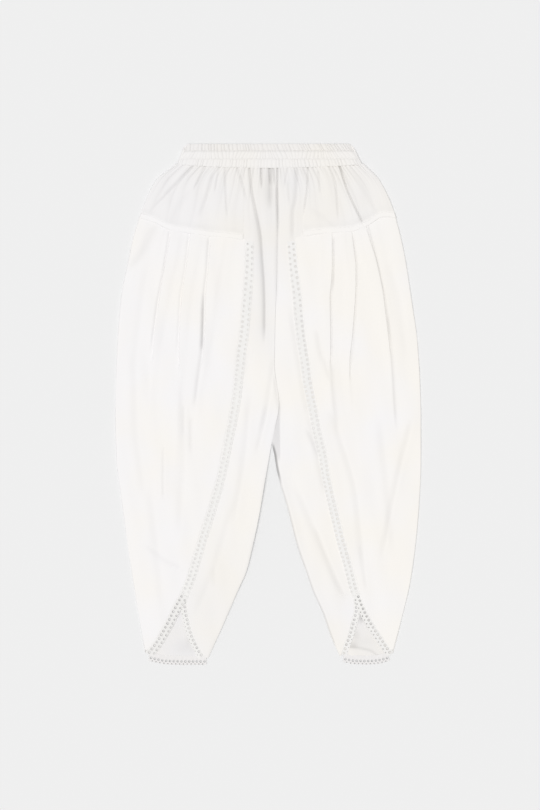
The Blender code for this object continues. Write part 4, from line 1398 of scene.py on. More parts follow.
@dataclass
class Yoke(ClothPiece):
    """A gathered hip yoke, from its centre front panel round the side to the centre back."""

    kind = "yoke"
    held = "gathered"
    lies_on = "leg"
    flats = {Side.LEFT: (0.560, 0.135, 0.85), Side.RIGHT: (0.500, 0.135, 0.83)}

    rows_down: int = 44
    row_growth: float = 1.1
    rows_end: tuple[float, float] = (0.86, 0.875)
    band_rows: int = 14
    front_columns: int = 190
    back_columns: int = 60
    fold_columns: int = 10
    edge_at: float = 55.0
    end_at: tuple[float, float] = (175.0, 240.0)
    back_flat: tuple[tuple[float, float], tuple[float, float]] = ((25.0, 3.0), (20.0, 3.0))
    back_share: float = 0.5
    band_width: float = 11.0
    band_rise: float = 0.65
    band_times: float = 5.0
    band_shape: float = 0.8
    band_shade_edge: tuple[float, float] = (-0.5, 2.0)
    puff: float = 1.3
    puff_shape: float = 0.7
    over_leg: float = 1.3
    seam_gap: float = 0.1
    relief_at_seam: float = 0.25
    relief_above: float = 16.0
    edge_drop: float = 0.25
    edge_drop_width: float = 1.8
    corner_drop: float = 0.5
    corner_reach: tuple[float, float] = (8.0, 13.0)
    pull_depth: float = 0.9
    pull_shade: float = 0.035
    pull_above: tuple[float, float] = (4.5, 5.0)
    pull_width: float = 5.0
    pull_shares: tuple[float, float] = (0.55, 0.6)
    pull_waves: tuple[tuple[float, float], ...] = ((13.0, 0.8), (31.0, 2.0))
    levels: ClassVar[Table] = Table(
        "down level", (0.0, 5.5), (0.1, 4.9), (0.26, 4.4), (0.54, 4.2), (0.91, 4.1), (1.0, 3.9)
    )

    def place(self, out: Array, down: Array, on_back: bool = False) -> Array:
        """Height on the garment of a point that lies some share of the way down the yoke."""
        foot = self.cut.back_seam(out) if on_back else self.cut.front_seam(out)
        return mix(band_foot(out * self.cut.side.sign) + TUCKED_IN_BAND, foot - self.seam_gap, down)

    def pulled(self, x: Array, share: float) -> Array:
        """How strongly the seam band pulls at the cloth above it, around a share of its most."""
        return share + (1 - share) * np.prod([np.sin(x / length + start) for length, start in self.pull_waves], axis=0)

    def above_seam(self, out: Array, y: Array) -> Array:
        """Distance of a point of the front from the yoke's lower edge."""
        return y - self.cut.front_seam(out) + self.seam_gap

    def height(self, out: Array, down: Array, y: Array) -> Array:
        """Height of the front's middle surface.

        Args:
            out: Distance from the middle towards the yoke's side.
            down: Share of the way down the yoke.
            y: Height on the garment of the same points.

        Returns:
            Height above the surface that the garment lies on, in millimetres.
        """
        x = out * self.cut.side.sign
        edge = YOKE_EDGES.read(self.cut.name, y)
        above = self.above_seam(out, y)
        relief = DRAPE.height(x, y) * mix(self.relief_at_seam, 1.0, np.clip(above / self.relief_above, 0, 1))
        puff = self.puff * arch((out - edge) / (self.cut.reach(y) - edge)) * arch(down, self.puff_shape)
        t = above / self.band_width
        plateau = self.band_rise * np.sin(0.5 * pi * nearness(t, self.band_times)) ** self.band_shape
        drop = self.edge_drop * (1 - np.clip(above / self.edge_drop_width, 0, 1)) ** 2
        drop += self.corner_drop * bell(out - edge, self.corner_reach[0]) * fade(above, 0.0, self.corner_reach[1])
        pull = bell(above - self.band_width - self.pull_above[0], self.pull_width) * (t > 1)
        shadow_line = self.pull_depth * self.pulled(x, self.pull_shares[0]) * pull
        level = self.levels.read("level", down) + puff + relief
        return stay_above(level, BACK_LEVEL + self.over_leg) + plateau - drop - shadow_line

    def shade(self, x: Array, y: Array) -> Array:
        """Painted shade of the yoke: its gathered cloth, with a soft row just above the band, is painted darker than
        its pressed band.

        Args:
            x: Place across the garment.
            y: Height on the garment.

        Returns:
            The share of its light that each point keeps.
        """
        above = self.above_seam(np.abs(x), y)
        pull = bell(above - self.band_width - self.pull_above[1], self.pull_width)
        gathered = DRAPE.shade(x, y) * (YOKE_PAINTED_SHADE - self.pull_shade * self.pulled(x, self.pull_shares[1]) * pull)
        front = mix(gathered, 1.0, fade(above - self.band_width, *self.band_shade_edge))
        return np.where(np.arange(x.shape[1])[None] < self.front_columns, front, 1.0)

    def middle(self) -> Array:
        """The yoke's middle surface.

        Returns:
            Points, rows × columns × 3.
        """
        down = self.rows_end[0] * np.linspace(0, 1, self.rows_down) ** self.row_growth
        down = np.append(down, np.linspace(self.rows_end[1], 1.0, self.band_rows))[:, None]
        edge = YOKE_EDGES.read(self.cut.name, self.place(self.edge_at + 0 * down, down)) + SEAM_GAP
        radius = (self.levels.read("level", down) - BACK_LEVEL) / 2
        end = self.cut.reach(self.place(mix(*self.end_at, down), down)) - CLOTH_ROOM / 2 - radius
        front = mix(edge, end, np.linspace(0, 1, self.front_columns)[None])
        y_front = self.place(front, down)
        z_front = self.height(front, down, y_front)
        turns = np.radians(np.linspace(90, -90, self.fold_columns + 2)[None, 1:-1])
        fold = end + radius * np.cos(turns)
        z_fold = BACK_LEVEL + (z_front[:, -1:] - BACK_LEVEL) / 2 * (1 + np.sin(turns))
        inner = self.cut.inner(self.place(np.zeros_like(down), down))
        back = mix(end, inner, np.linspace(0, 1, self.back_columns)[None])
        y_back, x_back = self.place(back, down, True), back * self.cut.side.sign
        near = fade(np.abs(back - inner), *self.back_flat[0]) * fade(np.abs(back - end), *self.back_flat[1])
        gathers = self.back_share * DRAPE.gathers.height(-x_back, y_back)
        z_back = BACK_LEVEL + near * (gathers + back_folds(x_back, y_back))
        out = np.concatenate([front, fold, back], axis=1) * self.cut.side.sign
        y = np.concatenate([y_front, self.place(fold, down), y_back], axis=1)
        return np.stack([out, y, np.concatenate([z_front, z_fold, z_back], axis=1)], -1)


@dataclass
class Waistband:
    """The gathered ring over wide elastic: two channels between three rows of stitching, its back standing higher."""

    front_columns: int = 430
    back_columns: int = 400
    bend_columns: int = 7
    channel_rows: int = 15
    barrel: float = 1.2
    barrel_shape: float = 0.6
    gather: float = 1.15
    gather_middle: float = 0.4
    pinch: float = 0.45
    pinch_widths: tuple[float, float] = (1.6, 1.4)
    lean: float = 0.45
    lean_wave: tuple[float, float] = (19.0, 0.5)
    channel_blend: float = 1.5
    back_lean: float = 0.3
    back_raised: float = 2.0
    back_raised_above: tuple[float, float] = (464.0, 450.0)
    back_end_times: float = 60.0
    top_turn: float = 1.1
    top_turn_width: float = 3.0
    top_wave: float = 1.5
    top_wave_middle: float = 0.35
    top_wave_rise: int = 8
    top_wave_reach: float = 150.0
    end_drop: float = 1.8
    end_times: float = 34.0
    # Painted shade of the band's face and of the inside of its back
    face_painted_shade: float = 0.972
    back_painted_shade: float = 0.935
    seam_shade: float = 0.05
    seam_shade_width: float = 1.5
    valley_shade: float = 0.13
    back_valley_shade: float = 0.15
    deeper: float = 0.9
    deeper_at: tuple[float, float] = (-95.0, 45.0)
    lowest: float = 0.05

    def reach(self, y: Array, end: int) -> Array:
        """How far the band reaches at one of its ends."""
        up = (y - BAND_FOOT) / (BAND_BACK_TOP - BAND_FOOT)
        return mix(BAND_FOOT_REACH[end], BAND_TOP_REACH[end], up)

    def spot(self, across: Array, up: Array, top: Array) -> tuple[Array, Array]:
        """Place on the garment of a point of the band.

        Args:
            across: Share of the way from its left end to its right end.
            up: Share of the way from its foot.
            top: Height of the edge at the other end of that way.

        Returns:
            The point's x and y.
        """
        foot = band_foot(mix(-BAND_FOOT_REACH[0], BAND_FOOT_REACH[1], across))
        y = mix(foot, top, up)
        margin = BAND_WALL / 2 + (BAND_LEVEL - BAND_BACK_LEVEL) / 2
        return mix(-self.reach(y, 0) + margin, self.reach(y, 1) - margin, across), y

    def profile(self, y: Array) -> Array:
        """Lift of the band's face between its stitched lines: two barrels and a small fold at the top.

        Args:
            y: Height on the garment.

        Returns:
            Lift at each point, in millimetres.
        """
        lower = (y - BAND_FOOT) / (BAND_MIDDLE - BAND_FOOT)
        upper = (y - BAND_MIDDLE) / (BAND_UPPER_LINE - BAND_MIDDLE)
        turned = np.clip((y - BAND_FRONT_TOP) / self.top_turn_width + 1, 0, 1) ** 2
        barrels = arch(lower, self.barrel_shape) + arch(upper, self.barrel_shape)
        return self.barrel * barrels - self.top_turn * turned

    def along(self, x: Array, y: Array) -> Array:
        """Place along the band's foot of the gather that a point lies on."""
        return x * BAND_FOOT_REACH[0] / np.where(x < 0, self.reach(y, 0), self.reach(y, 1))

    def face(self, read: Callable[[Pinches, Array], Array], x: Array, y: Array) -> Array:
        """Gathers of the band's face, upright in the lower channel and leaning in the upper one.

        Args:
            read: What is read of the gathers.
            x: Place across the garment.
            y: Height on the garment.

        Returns:
            What was read at each place.
        """
        s = self.along(x, y)
        lean = self.lean * (y - BAND_MIDDLE) * np.sin(s / self.lean_wave[0] + self.lean_wave[1])
        to_upper = fade(y - BAND_MIDDLE, self.channel_blend, -self.channel_blend)
        return mix(read(FINE_GATHERS, s), read(UPPER_GATHERS, s + lean), to_upper)

    def waves(self, x: Array, y: Array) -> Array:
        """Lift of the face's gathers, pinched at the stitched lines."""
        lines = zip((BAND_MIDDLE, BAND_UPPER_LINE), self.pinch_widths)
        pinched = 1 - self.pinch * sum(bell(y - line, width) for line, width in lines)
        return self.gather * (self.face(Pinches.ridge, x, y) - self.gather_middle) * pinched

    def back_along(self, x: Array, y: Array) -> Array:
        """Place among the deeper gathers of the inside of the band's back, which shows above the front."""
        return self.along(x, y) + self.back_lean * (y - BAND_FRONT_TOP)

    def shade(self, x: Array, y: Array) -> Array:
        """Painted shade of the band's face: less light between its gathers and at its stitched lines."""
        seams = sum(bell(y - line, self.seam_shade_width) for line in (BAND_MIDDLE, BAND_UPPER_LINE))
        return self.face_painted_shade - self.valley_shade * self.face(Pinches.valley, x, y) - self.seam_shade * seams

    def back_shade(self, x: Array, y: Array) -> Array:
        """Painted shade of the inside of the back, which lies low behind the front, darkest deep between its gathers.
        """
        deeper = 1 + self.deeper * bell(self.along(x, y) - self.deeper_at[0], self.deeper_at[1])
        return self.back_painted_shade - self.back_valley_shade * deeper * BACK_GATHERS.valley(self.back_along(x, y))

    def bend(self, end: int, up: Array, level: Array) -> list[Array]:
        """The fold at one end of the band.

        Args:
            end: 1 at the right end, where the front turns to the back, and 0 at the left one.
            up: Shares of the way up the band.
            level: Height of the front's face at its end.

        Returns:
            The fold's x, y and z.
        """
        steps = np.arange(1, self.bend_columns + 1)[None] / (self.bend_columns + 1)
        turns = np.radians(np.linspace(90, -90, self.bend_columns + 2)[None, 1:-1])
        share = steps if end else 1 - steps
        x, y = self.spot(np.full_like(share, float(end)), up, mix(BAND_FRONT_TOP, BAND_BACK_TOP, share))
        out = (BAND_LEVEL - BAND_BACK_LEVEL) / 2 * np.cos(turns)
        sign = 1 if end else -1
        return [x + sign * out, y, mix(BAND_BACK_LEVEL, level, (1 + sign * np.sin(turns)) / 2) + 0 * x]

    def build(self, cotton: bpy.types.Material) -> bpy.types.Object:
        """Args:
            cotton: Its finish.

        Returns:
            The new piece.
        """
        middle_up = (BAND_MIDDLE - BAND_FOOT) / (BAND_FRONT_TOP - BAND_FOOT)
        upper = np.linspace(middle_up, 1.0, self.channel_rows + 3)[1:]
        up = np.append(np.linspace(0, middle_up, self.channel_rows), upper)[:, None]
        front = np.linspace(0, 1, self.front_columns)[None]
        back = np.linspace(1, 0, self.back_columns)[None]
        top_wave = UPPER_GATHERS.ridge(mix(-self.top_wave_reach, self.top_wave_reach, front)) - self.top_wave_middle
        wavy_top = BAND_FRONT_TOP + self.top_wave * top_wave * up**self.top_wave_rise
        x_front, y_front = self.spot(front, up, wavy_top)
        ends = nearness(front, self.end_times)
        face = BAND_LEVEL + self.profile(y_front) - self.end_drop * (1 - ends) ** 2
        wave_front = self.waves(x_front, y_front) * ends
        x_back, y_back = self.spot(back, up, BAND_BACK_TOP)
        wave_back = BACK_GATHERS.ridge(self.back_along(x_back, y_back)) * nearness(back, self.end_times)
        raised = fade(y_back, *self.back_raised_above) * nearness(back, self.back_end_times)
        flat_back = BAND_BACK_LEVEL + self.back_raised * raised
        bends = [self.bend(end, up, face[:, :1]) for end in (1, 0)]
        columns = [(x_front, y_front, face), bends[0], (x_back, y_back, flat_back), bends[1]]
        middle = np.stack([np.concatenate(axis, axis=1) for axis in zip(*columns)], -1)
        half = grid_normals(middle, ring=True) * BAND_WALL / 2
        half = half * np.sign(half[0, self.front_columns // 2, 2])
        outer, inner = middle + half, middle - half
        still = np.zeros_like(bends[0][0])
        outer[..., 2] += np.concatenate([wave_front, still, 0 * wave_back, still], axis=1)
        inner[..., 2] += np.concatenate([wave_front, still, wave_back, still], axis=1)
        for grid in (outer, inner):
            grid[..., 2] = np.maximum(grid[..., 2], self.lowest)
        shades = [self.shade(x_front, y_front), 1 + still, self.back_shade(x_back, y_back), 1 + still]
        piece = closed_shell("cloth_waistband", outer, inner, cotton, np.concatenate(shades, axis=1), ring=True)
        declare(piece, "waistband", (0.80, 0.044, 1.0), ["cloth_yoke_left", "cloth_yoke_right"])
        return piece


@dataclass
class Run:
    """A line on the garment that lace or stitches follow, with the height that they lie at.

    The free edge is on the line's left where free is 1, and on its right where it is -1.
    """

    x: Array
    y: Array
    z: Array
    free: float = 1.0

    def __post_init__(self) -> None:
        """Measures the line."""
        self.at = np.append(0.0, np.cumsum(np.hypot(np.diff(self.x), np.diff(self.y))))
        self.length = float(self.at[-1])
        self.dx, self.dy = np.gradient(self.x, self.at), np.gradient(self.y, self.at)

    def lay(self, local: Array) -> Array:
        """Places points given along, across and above the line.

        Args:
            local: Points as (along, across, up), n × 3; across is positive towards the free edge.

        Returns:
            The points on the garment, n × 3.
        """
        at = np.clip(local[:, 0], 0, self.length)
        over, across = local[:, 0] - at, local[:, 1] * self.free
        dx, dy, x, y, z = (np.interp(at, self.at, line) for line in (self.dx, self.dy, self.x, self.y, self.z))
        length = np.hypot(dx, dy)
        dx, dy = dx / length, dy / length
        return np.stack([x + dx * over - dy * across, y + dy * over + dx * across, z + local[:, 2]], -1)


@dataclass(frozen=True)
class Lace:
    """Cotton lace: a close ground with two staggered rows of round holes, a rim round each, and a scalloped edge."""

    heading: float = -9.2
    main_row: float = -3.4
    between: float = 0.65
    free_row: float = 4.7
    beyond: float = 2.7
    main_hole: float = 2.0
    free_hole: float = 1.65
    rim_foot: float = 1.1
    wall: float = 0.7
    hole_shade: float = 0.78
    crest_shade: float = 0.93
    ground_shade: float = 0.965
    unevenness: float = 0.1
    rim_crest: ClassVar[float] = 0.45
    rim_height: ClassVar[float] = 0.14
    hole_level: ClassVar[float] = 0.4
    foot_level: ClassVar[float] = 0.1
    scallop: ClassVar[float] = 0.45
    usual_spread: ClassVar[float] = 8.1
    heading_drop: ClassVar[float] = 0.55
    heading_slope: ClassVar[tuple[float, float]] = (-8.4, -6.4)
    ring_points: ClassVar[int] = 12

    def stations(self, run: Run, pitch: Callable[[float], float]) -> Array:
        """Places along the run, four for each hole of the main row, with the last one at the run's end.

        Args:
            run: The lace's middle line.
            pitch: From hole to hole, at a distance along the run.

        Returns:
            Distances along the run.
        """
        ends = [0.0]
        while ends[-1] < run.length - 0.5 * pitch(run.length):
            ends.append(ends[-1] + pitch(ends[-1]))
        ends = np.array(ends) * run.length / ends[-1]
        quarters = np.linspace(0, 1, 5)[None, :4]
        return np.append((ends[:-1, None] + np.diff(ends)[:, None] * quarters).ravel(), run.length)

    def cell(self, u: Array, low: Array, middle: Array, high: Array, hole: float) -> tuple[Array, Array]:
        """Ground with one hole for each row of stations.

        Args:
            u: Five places along the run for each cell.
            low: Where the cell starts across the run, at the same five places.
            middle: Where the hole lies across the run, one for each cell.
            high: Where the cell ends across the run, at the same five places.
            hole: The hole's radius.

        Returns:
            Points as (along, across, up), and quads.
        """
        count, middle = len(u), middle[:, None]
        border_u = np.concatenate([u, u[:, 4:], u[:, ::-1], u[:, :1]], axis=1)
        border_v = np.concatenate([low, middle, high[:, ::-1], middle], axis=1)
        angles = np.radians(210 + 30 * np.arange(self.ring_points))[None]
        hole = hole * (1 + self.unevenness * np.random.default_rng(count).uniform(-1, 1, (count, 1)))
        rings = []
        for more, up in ((0.0, self.hole_level), (self.rim_crest, 1.0), (self.rim_foot, self.foot_level)):
            ring_u, ring_v = u[:, 2:3] + (hole + more) * np.cos(angles), middle + (hole + more) * np.sin(angles)
            rings.append(np.stack([ring_u, ring_v, np.full_like(ring_u, up * self.rim_height)], -1))
        points = np.stack([*rings, np.stack([border_u, border_v, 0 * border_u], -1)], axis=1).reshape(-1, 3)
        starts = np.arange(count)[:, None, None] * 4 * self.ring_points
        return points, (grid_faces(4, self.ring_points, True)[None] + starts).reshape(-1, 4)

    def ground(self, u: Array, spread: Array) -> tuple[Array, Array]:
        """The whole lace laid flat, welded.

        Args:
            u: The stations.
            spread: Distance between the two rows of holes at each station.

        Returns:
            Points as (along, across, up), and quads.
        """
        wide = spread / self.usual_spread
        at = np.arange(len(u) // 4)[:, None] * 4 + np.arange(5)[None]
        heading, between, free_row = self.heading + 0 * u, self.between * wide, self.free_row * wide
        main = self.cell(u[at], heading[at], (self.main_row * wide)[at[:, 2]], between[at], self.main_hole)
        edge = free_row + self.beyond + self.scallop * np.cos(pi * (np.arange(len(u)) - 2) / 2 + pi)
        at = at[:-1] + 2
        blocks = [main, self.cell(u[at], between[at], free_row[at[:, 2]], edge[at], self.free_hole)]
        for first in (0, len(u) - 3):
            near = slice(first, first + 3)
            rows = np.stack([between[near], free_row[near], edge[near]])
            block = np.stack([np.repeat(u[near][None], 3, axis=0), rows, 0 * rows], -1).reshape(-1, 3)
            blocks.append((block, grid_faces(3, 3, False)))
        points = np.concatenate([block for block, _ in blocks])
        starts = np.cumsum([0] + [len(block) for block, _ in blocks[:-1]])
        faces = np.concatenate([block + start for (_, block), start in zip(blocks, starts)])
        keys = np.round(points[:, :2] * 1000).astype(np.int64)
        _, kept, renamed = np.unique(keys, axis=0, return_index=True, return_inverse=True)
        return points[kept], renamed.ravel()[faces]

    def make(
        self, name: str, run: Run, sizes: tuple[Callable, Callable], height: Callable, thread: bpy.types.Material
    ) -> bpy.types.Object:
        """Works the lace along a run.

        Args:
            name: The piece's name.
            run: The lace's middle line.
            sizes: The pitch of the holes and the spread of the two rows, each at a distance along the run.
            height: Height of the lace at points of the garment.
            thread: Its finish.

        Returns:
            The new piece.
        """
        u = self.stations(run, sizes[0])
        flat, quads = self.ground(u, sizes[1](u))
        placed = run.lay(flat * (1, 1, 0))
        placed[:, 2] = height(placed[:, 0], placed[:, 1]) - self.heading_drop * fade(flat[:, 1], *self.heading_slope)
        top, bottom = placed.copy(), placed.copy()
        top[:, 2] += self.wall / 2 + flat[:, 2]
        bottom[:, 2] -= self.wall / 2
        sides = np.stack([quads, np.roll(quads, -1, axis=1)], -1).reshape(-1, 2)
        _, first, counts = np.unique(np.sort(sides, axis=1), axis=0, return_index=True, return_counts=True)
        rim = sides[first[counts == 1]]
        count = len(flat)
        walls = np.stack([rim[:, 1], rim[:, 0], rim[:, 0] + count, rim[:, 1] + count], -1)
        faces = np.concatenate([quads, quads[:, ::-1] + count, walls]).tolist()
        # Painted shade: the ground a little darker, the rims and the edges of the holes darker
        shade = np.full(count, self.ground_shade)
        shade[np.isclose(flat[:, 2], self.rim_height)] = self.crest_shade
        shade[np.isclose(flat[:, 2], self.hole_level * self.rim_height)] = self.hole_shade
        uv = np.tile(flat[:, :2], (2, 1)) * MM
        return finish_piece(name, np.concatenate([top, bottom]), faces, thread, uv, np.tile(shade, 2))


INNER_LACE = Lace(
    heading=-11.4, between=-0.1, free_row=2.2, beyond=1.7, free_hole=0.4, rim_foot=0.8,
    hole_shade=0.4, crest_shade=0.9, ground_shade=0.96,
)
HEM_LACE = Lace(
    main_row=0.7, between=3.7, free_row=5.4, beyond=1.2, main_hole=1.85, free_hole=0.8, rim_foot=0.9, wall=1.2,
    hole_shade=0.5, crest_shade=0.84, ground_shade=0.97, unevenness=0.05,
)
LACES = {
    Side.LEFT: {
        "long": Lace(main_hole=1.9, free_hole=1.9, unevenness=0.16),
        "petal": Lace(free_hole=1.7, hole_shade=0.5, crest_shade=0.87, ground_shade=0.93),
        "inner": INNER_LACE,
        "hem": HEM_LACE,
    },
    Side.RIGHT: {
        "long": Lace(main_hole=2.1, free_hole=1.7, unevenness=0.16),
        "petal": Lace(
            between=0.0, free_row=3.0, beyond=2.4, free_hole=1.0, rim_foot=0.9,
            hole_shade=0.5, crest_shade=0.89, ground_shade=0.955,
        ),
        "inner": INNER_LACE,
        "hem": HEM_LACE,
    },
}


@dataclass
class LegTrim:
    """The four lace strips of one leg."""

    panel: FrontPanel
    step: float = 1.5
    over_panel: float = 0.62
    over_back: float = 1.35
    over_floor: float = 1.4
    to_back: tuple[float, float] = (-388.0, -422.0)
    hem_points: int = 60
    cut_width: float = 0.0165

    @property
    def cut(self) -> Cut:
        """The lines of the leg's side."""
        return self.panel.cut

    def run(self, table: Table, top: float, foot: float, free: float) -> Run:
        """A lace's line between two heights."""
        y = np.linspace(top, foot, max(round((top - foot) / self.step), 4))
        return Run(table.read(self.cut.name, y) * self.cut.side.sign, y, 0 * y, free * self.cut.side.sign)

    def hem_run(self) -> Run:
        """The line of the hem's lace."""
        hem, sign = HEMS[self.cut.side], self.cut.side.sign
        out = np.linspace(hem.keys[-1], hem.keys[0], self.hem_points)
        return Run(out * sign, hem.read("y", out), 0 * out, sign)

    def on_panel(self, x: Array, y: Array) -> Array:
        """Height of lace on the centre panel, then down on the back where the hem is open."""
        beside = self.panel.height(x * self.cut.side.sign, y) + self.over_panel
        return mix(self.on_back(x, y), beside, fade(y, *self.to_back))

    def on_back(self, x: Array, y: Array) -> Array:
        """Height of lace over the inside of the back."""
        return 0 * x + BACK_LEVEL + self.over_back

    def on_floor(self, x: Array, y: Array) -> Array:
        """Height of the hem's lace, which stands a little off the surface."""
        return 0 * x + self.over_floor

    def build(self, thread: bpy.types.Material, shaded_hem_thread: bpy.types.Material) -> None:
        """Makes the leg's laces and attaches each in place of its imported strip.

        Args:
            thread: Finish of the laces on the petals.
            shaded_hem_thread: Finish of the hem's lace, the lace thread painted darker as painted shade.
        """
        name, side = self.cut.name, self.cut.side
        top, low = LONG_LACES.keys[-1] - SEAM_GAP, LONG_LACES.keys[0]
        runs = {
            "long": (self.run(LONG_LACES, top, OPENING_APEX, -1.0), self.on_panel),
            "petal": (self.run(LONG_LACES, OPENING_APEX - 0.1, low, -1.0), self.on_panel),
            "inner": (self.run(INNER_LACES, INNER_LACES.keys[-1], PANEL_FOOT[side], 1.0), self.on_back),
            "hem": (self.hem_run(), self.on_floor),
        }
        for kind, (run, height) in runs.items():
            sizes = (lambda u: HEM_PITCH), (lambda u: 0 * u + Lace.usual_spread)
            if kind != "hem":
                sizes = tuple(
                    lambda u, run=run, column=column: LACE_SIZES.read(column, np.interp(u, run.at, run.y))
                    for column in ("pitch", "spread")
                )
            finish = shaded_hem_thread if kind == "hem" else thread
            piece = LACES[side][kind].make(f"lace_{kind}_{name}_worked", run, sizes, height, finish)
            flat = (self.cut_width, run.length * MM, 1.0)
            declare(piece, f"lace_{kind}_{name}", flat, ["cloth_leg_" + name])


@dataclass
class Stitching:
    """Rows of machine stitches on the band, the yokes' seam bands, and beside the laces."""

    thread: bpy.types.Material
    length: float = 2.3
    pitch: float = 3.1
    radius: float = 0.22
    flatness: float = 0.7
    over_cloth: float = 0.05
    over_band: float = 0.1
    above_foot: float = 1.3
    band_ends: tuple[float, float] = (0.012, 0.988)
    band_points: int = 700
    yoke_ends: ClassVar[dict[Side, tuple[float, float]]] = {Side.LEFT: (52.0, 232.0), Side.RIGHT: (66.0, 232.0)}
    yoke_points: int = 300
    above_seam: float = 1.6
    under_gathers: float = 1.8
    from_lace: float = 1.6
    lace_margin: float = 6.0
    lace_points: int = 600

    def __post_init__(self) -> None:
        """Models one stitch, a short rounded length of thread along X."""
        bm = bmesh.new()
        bmesh.ops.create_uvsphere(bm, u_segments=6, v_segments=4, radius=self.radius)
        self.stitch = np.array([v.co[:] for v in bm.verts])[:, [2, 1, 0]] * (1, 1, -self.flatness)
        self.faces = [[v.index for v in face.verts] for face in bm.faces]
        bm.free()
        ends = np.where(np.abs(self.stitch[:, 0]) > self.radius / 10, np.sign(self.stitch[:, 0]), 0)
        self.stitch[:, 0] += ends * (self.length / 2 - self.radius)

    def build(self, name: str, runs: list[Run]) -> None:
        """Makes one piece of the stitches along some lines.

        Args:
            name: The piece's name.
            runs: The lines.
        """
        rows = []
        for run in runs:
            at = np.arange(self.pitch / 2, run.length, self.pitch)
            shift = np.stack([at, 0 * at, 0 * at], -1)
            rows.append(run.lay((self.stitch[None] + shift[:, None]).reshape(-1, 3)))
        points, count = np.concatenate(rows), len(self.stitch)
        faces = [[start + v for v in face] for start in range(0, len(points), count) for face in self.faces]
        piece = finish_piece(name, points, faces, self.thread)
        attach(piece, "root")
        log.info("%s: %d stitches", name, len(points) // count)

    def band_runs(self, band: Waistband) -> list[Run]:
        """The waistband's three rows, over its gathers.

        Args:
            band: The waistband.

        Returns:
            A line for each row.
        """
        runs = []
        across = np.linspace(*self.band_ends, self.band_points)
        for line in (BAND_FOOT + self.above_foot, BAND_MIDDLE, BAND_UPPER_LINE):
            up = (line - BAND_FOOT) / (BAND_FRONT_TOP - BAND_FOOT)
            x, y = band.spot(across, up, BAND_FRONT_TOP)
            z = BAND_LEVEL + band.profile(y) + band.waves(x, y) + BAND_WALL / 2 + self.over_band
            runs.append(Run(x, y, z))
        return runs

    def yoke_runs(self, yoke: Yoke) -> list[Run]:
        """Two rows on the raised band at the yoke's lower edge.

        Args:
            yoke: The yoke.

        Returns:
            A line for each row.
        """
        runs = []
        out = np.linspace(*self.yoke_ends[yoke.cut.side], self.yoke_points)
        top, foot = yoke.place(out, 0.0), yoke.place(out, 1.0)
        for above in (self.above_seam, yoke.band_width - self.under_gathers):
            y = foot + above
            z = yoke.height(out, (top - y) / (top - foot), y) + CLOTH / 2 + self.over_cloth
            runs.append(Run(out * yoke.cut.side.sign, y, z))
        return runs

    def lace_run(self, leg: Leg) -> Run:
        """One row on the petal's edge, just outside the long lace.

        Args:
            leg: The leg.

        Returns:
            The row's line.
        """
        y = np.linspace(LEG_TOP - self.lace_margin, LEG_FOOT + self.lace_margin, self.lace_points)
        out = leg.span(y)[0] + self.from_lace
        x = out * leg.cut.side.sign
        z = leg.relief(x, y, leg.base(out, y)) - leg.settle(self.from_lace)
        return Run(x, y, z + CLOTH / 2 + self.over_cloth)


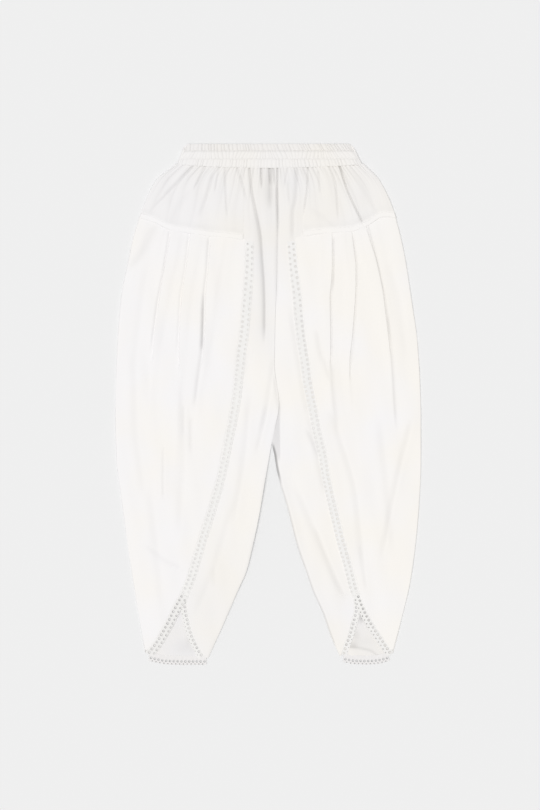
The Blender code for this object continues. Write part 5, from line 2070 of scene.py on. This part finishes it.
@dataclass
class Studio:
    """Pale floor, soft light from nearly straight above, and a camera straight above."""

    floor_colour: Paint = (0.80, 0.80, 0.80, 1.0)
    fill: float = 0.42
    key: float = 2.10
    key_tilt: float = 8.0
    key_turn: float = 186.0
    key_angle: float = 50.0
    focal: float = 85.0
    sensor: float = 36.0
    picture_height: float = 1474.0
    centre: tuple[float, float] = (3.1, -0.2)

    def floor(self) -> None:
        """Lays the floor."""
        bpy.ops.mesh.primitive_plane_add(size=24.0, location=(0, 0, 0))
        floor = bpy.context.object
        floor.name = "floor"
        graph = Graph("floor", {"Base Color": self.floor_colour, "Roughness": 0.95, "Specular IOR Level": 0.0})
        floor.data.materials.append(graph.material)

    def light(self) -> None:
        """Even light from the whole sky and a broad soft key."""
        world = bpy.data.worlds.new("studio")
        bpy.context.scene.world = world
        world.use_nodes = True
        background = world.node_tree.nodes["Background"]
        background.inputs["Color"].default_value = (1.0, 1.0, 1.0, 1.0)
        background.inputs["Strength"].default_value = self.fill
        key = bpy.data.lights.new("key", "SUN")
        key.energy = self.key
        key.angle = radians(self.key_angle)
        lamp = bpy.data.objects.new("key", key)
        lamp.rotation_euler = (0.0, radians(self.key_tilt), radians(self.key_turn))
        bpy.context.scene.collection.objects.link(lamp)

    def camera(self) -> None:
        """A camera straight above, whose long side is the picture's height."""
        data = bpy.data.cameras.new("camera")
        data.lens = self.focal
        data.sensor_width = self.sensor
        data.clip_end = 60.0
        item = bpy.data.objects.new("camera", data)
        item.location = [size * MM for size in (*self.centre, self.picture_height * self.focal / self.sensor)]
        bpy.context.scene.collection.objects.link(item)
        bpy.context.scene.camera = item

    def build(self) -> None:
        """Sets up the studio."""
        self.floor()
        self.light()
        self.camera()
        bpy.context.scene.view_settings.view_transform = "Standard"
        bpy.context.scene.view_settings.look = "None"


# Each leg's pleats: how deep they fold, and the heights where the folds end and where their ridges have faded
PLEAT_FOLDS = {
    Side.LEFT: ((17.0, 12.0, 12.0), (100.0, 90.0, 105.0), (-70.0, -190.0, -40.0)),
    Side.RIGHT: ((13.0, 12.0, 16.0), (100.0, 75.0, 120.0), (-130.0, -40.0, -130.0)),
}


def main() -> None:
    """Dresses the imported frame, piece by piece."""
    logging.basicConfig(level=logging.INFO, format="%(message)s")
    Studio().build()
    cotton = Cotton().make()
    lace_thread = Thread("lace_thread", (0.872, 0.860, 0.842, 1.0), shaded=True).make()
    # The hem's lace: a darker copy of the lace thread, painted shade for lace lying low by the floor
    shaded_hem_thread = Thread("hem_lace_thread_shaded", (0.84, 0.822, 0.814, 1.0), shaded=True).make()
    stitching = Stitching(Thread("sewing_thread", (0.875, 0.865, 0.85, 1.0)).make())
    band = Waistband()
    band.build(cotton)
    stitching.build("stitches_waistband", stitching.band_runs(band))
    for side in Side:
        cut = Cut(side)
        yoke, panel, leg = Yoke(cut), FrontPanel(cut), Leg(cut, *PLEAT_FOLDS[side])
        for piece in (yoke, panel, leg):
            piece.build(cotton)
        LegTrim(panel).build(lace_thread, shaded_hem_thread)
        stitching.build("stitches_yoke_" + side.value, stitching.yoke_runs(yoke))
        stitching.build("stitches_lace_" + side.value, [stitching.lace_run(leg)])
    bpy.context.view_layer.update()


if __name__ == "__main__":
    main()
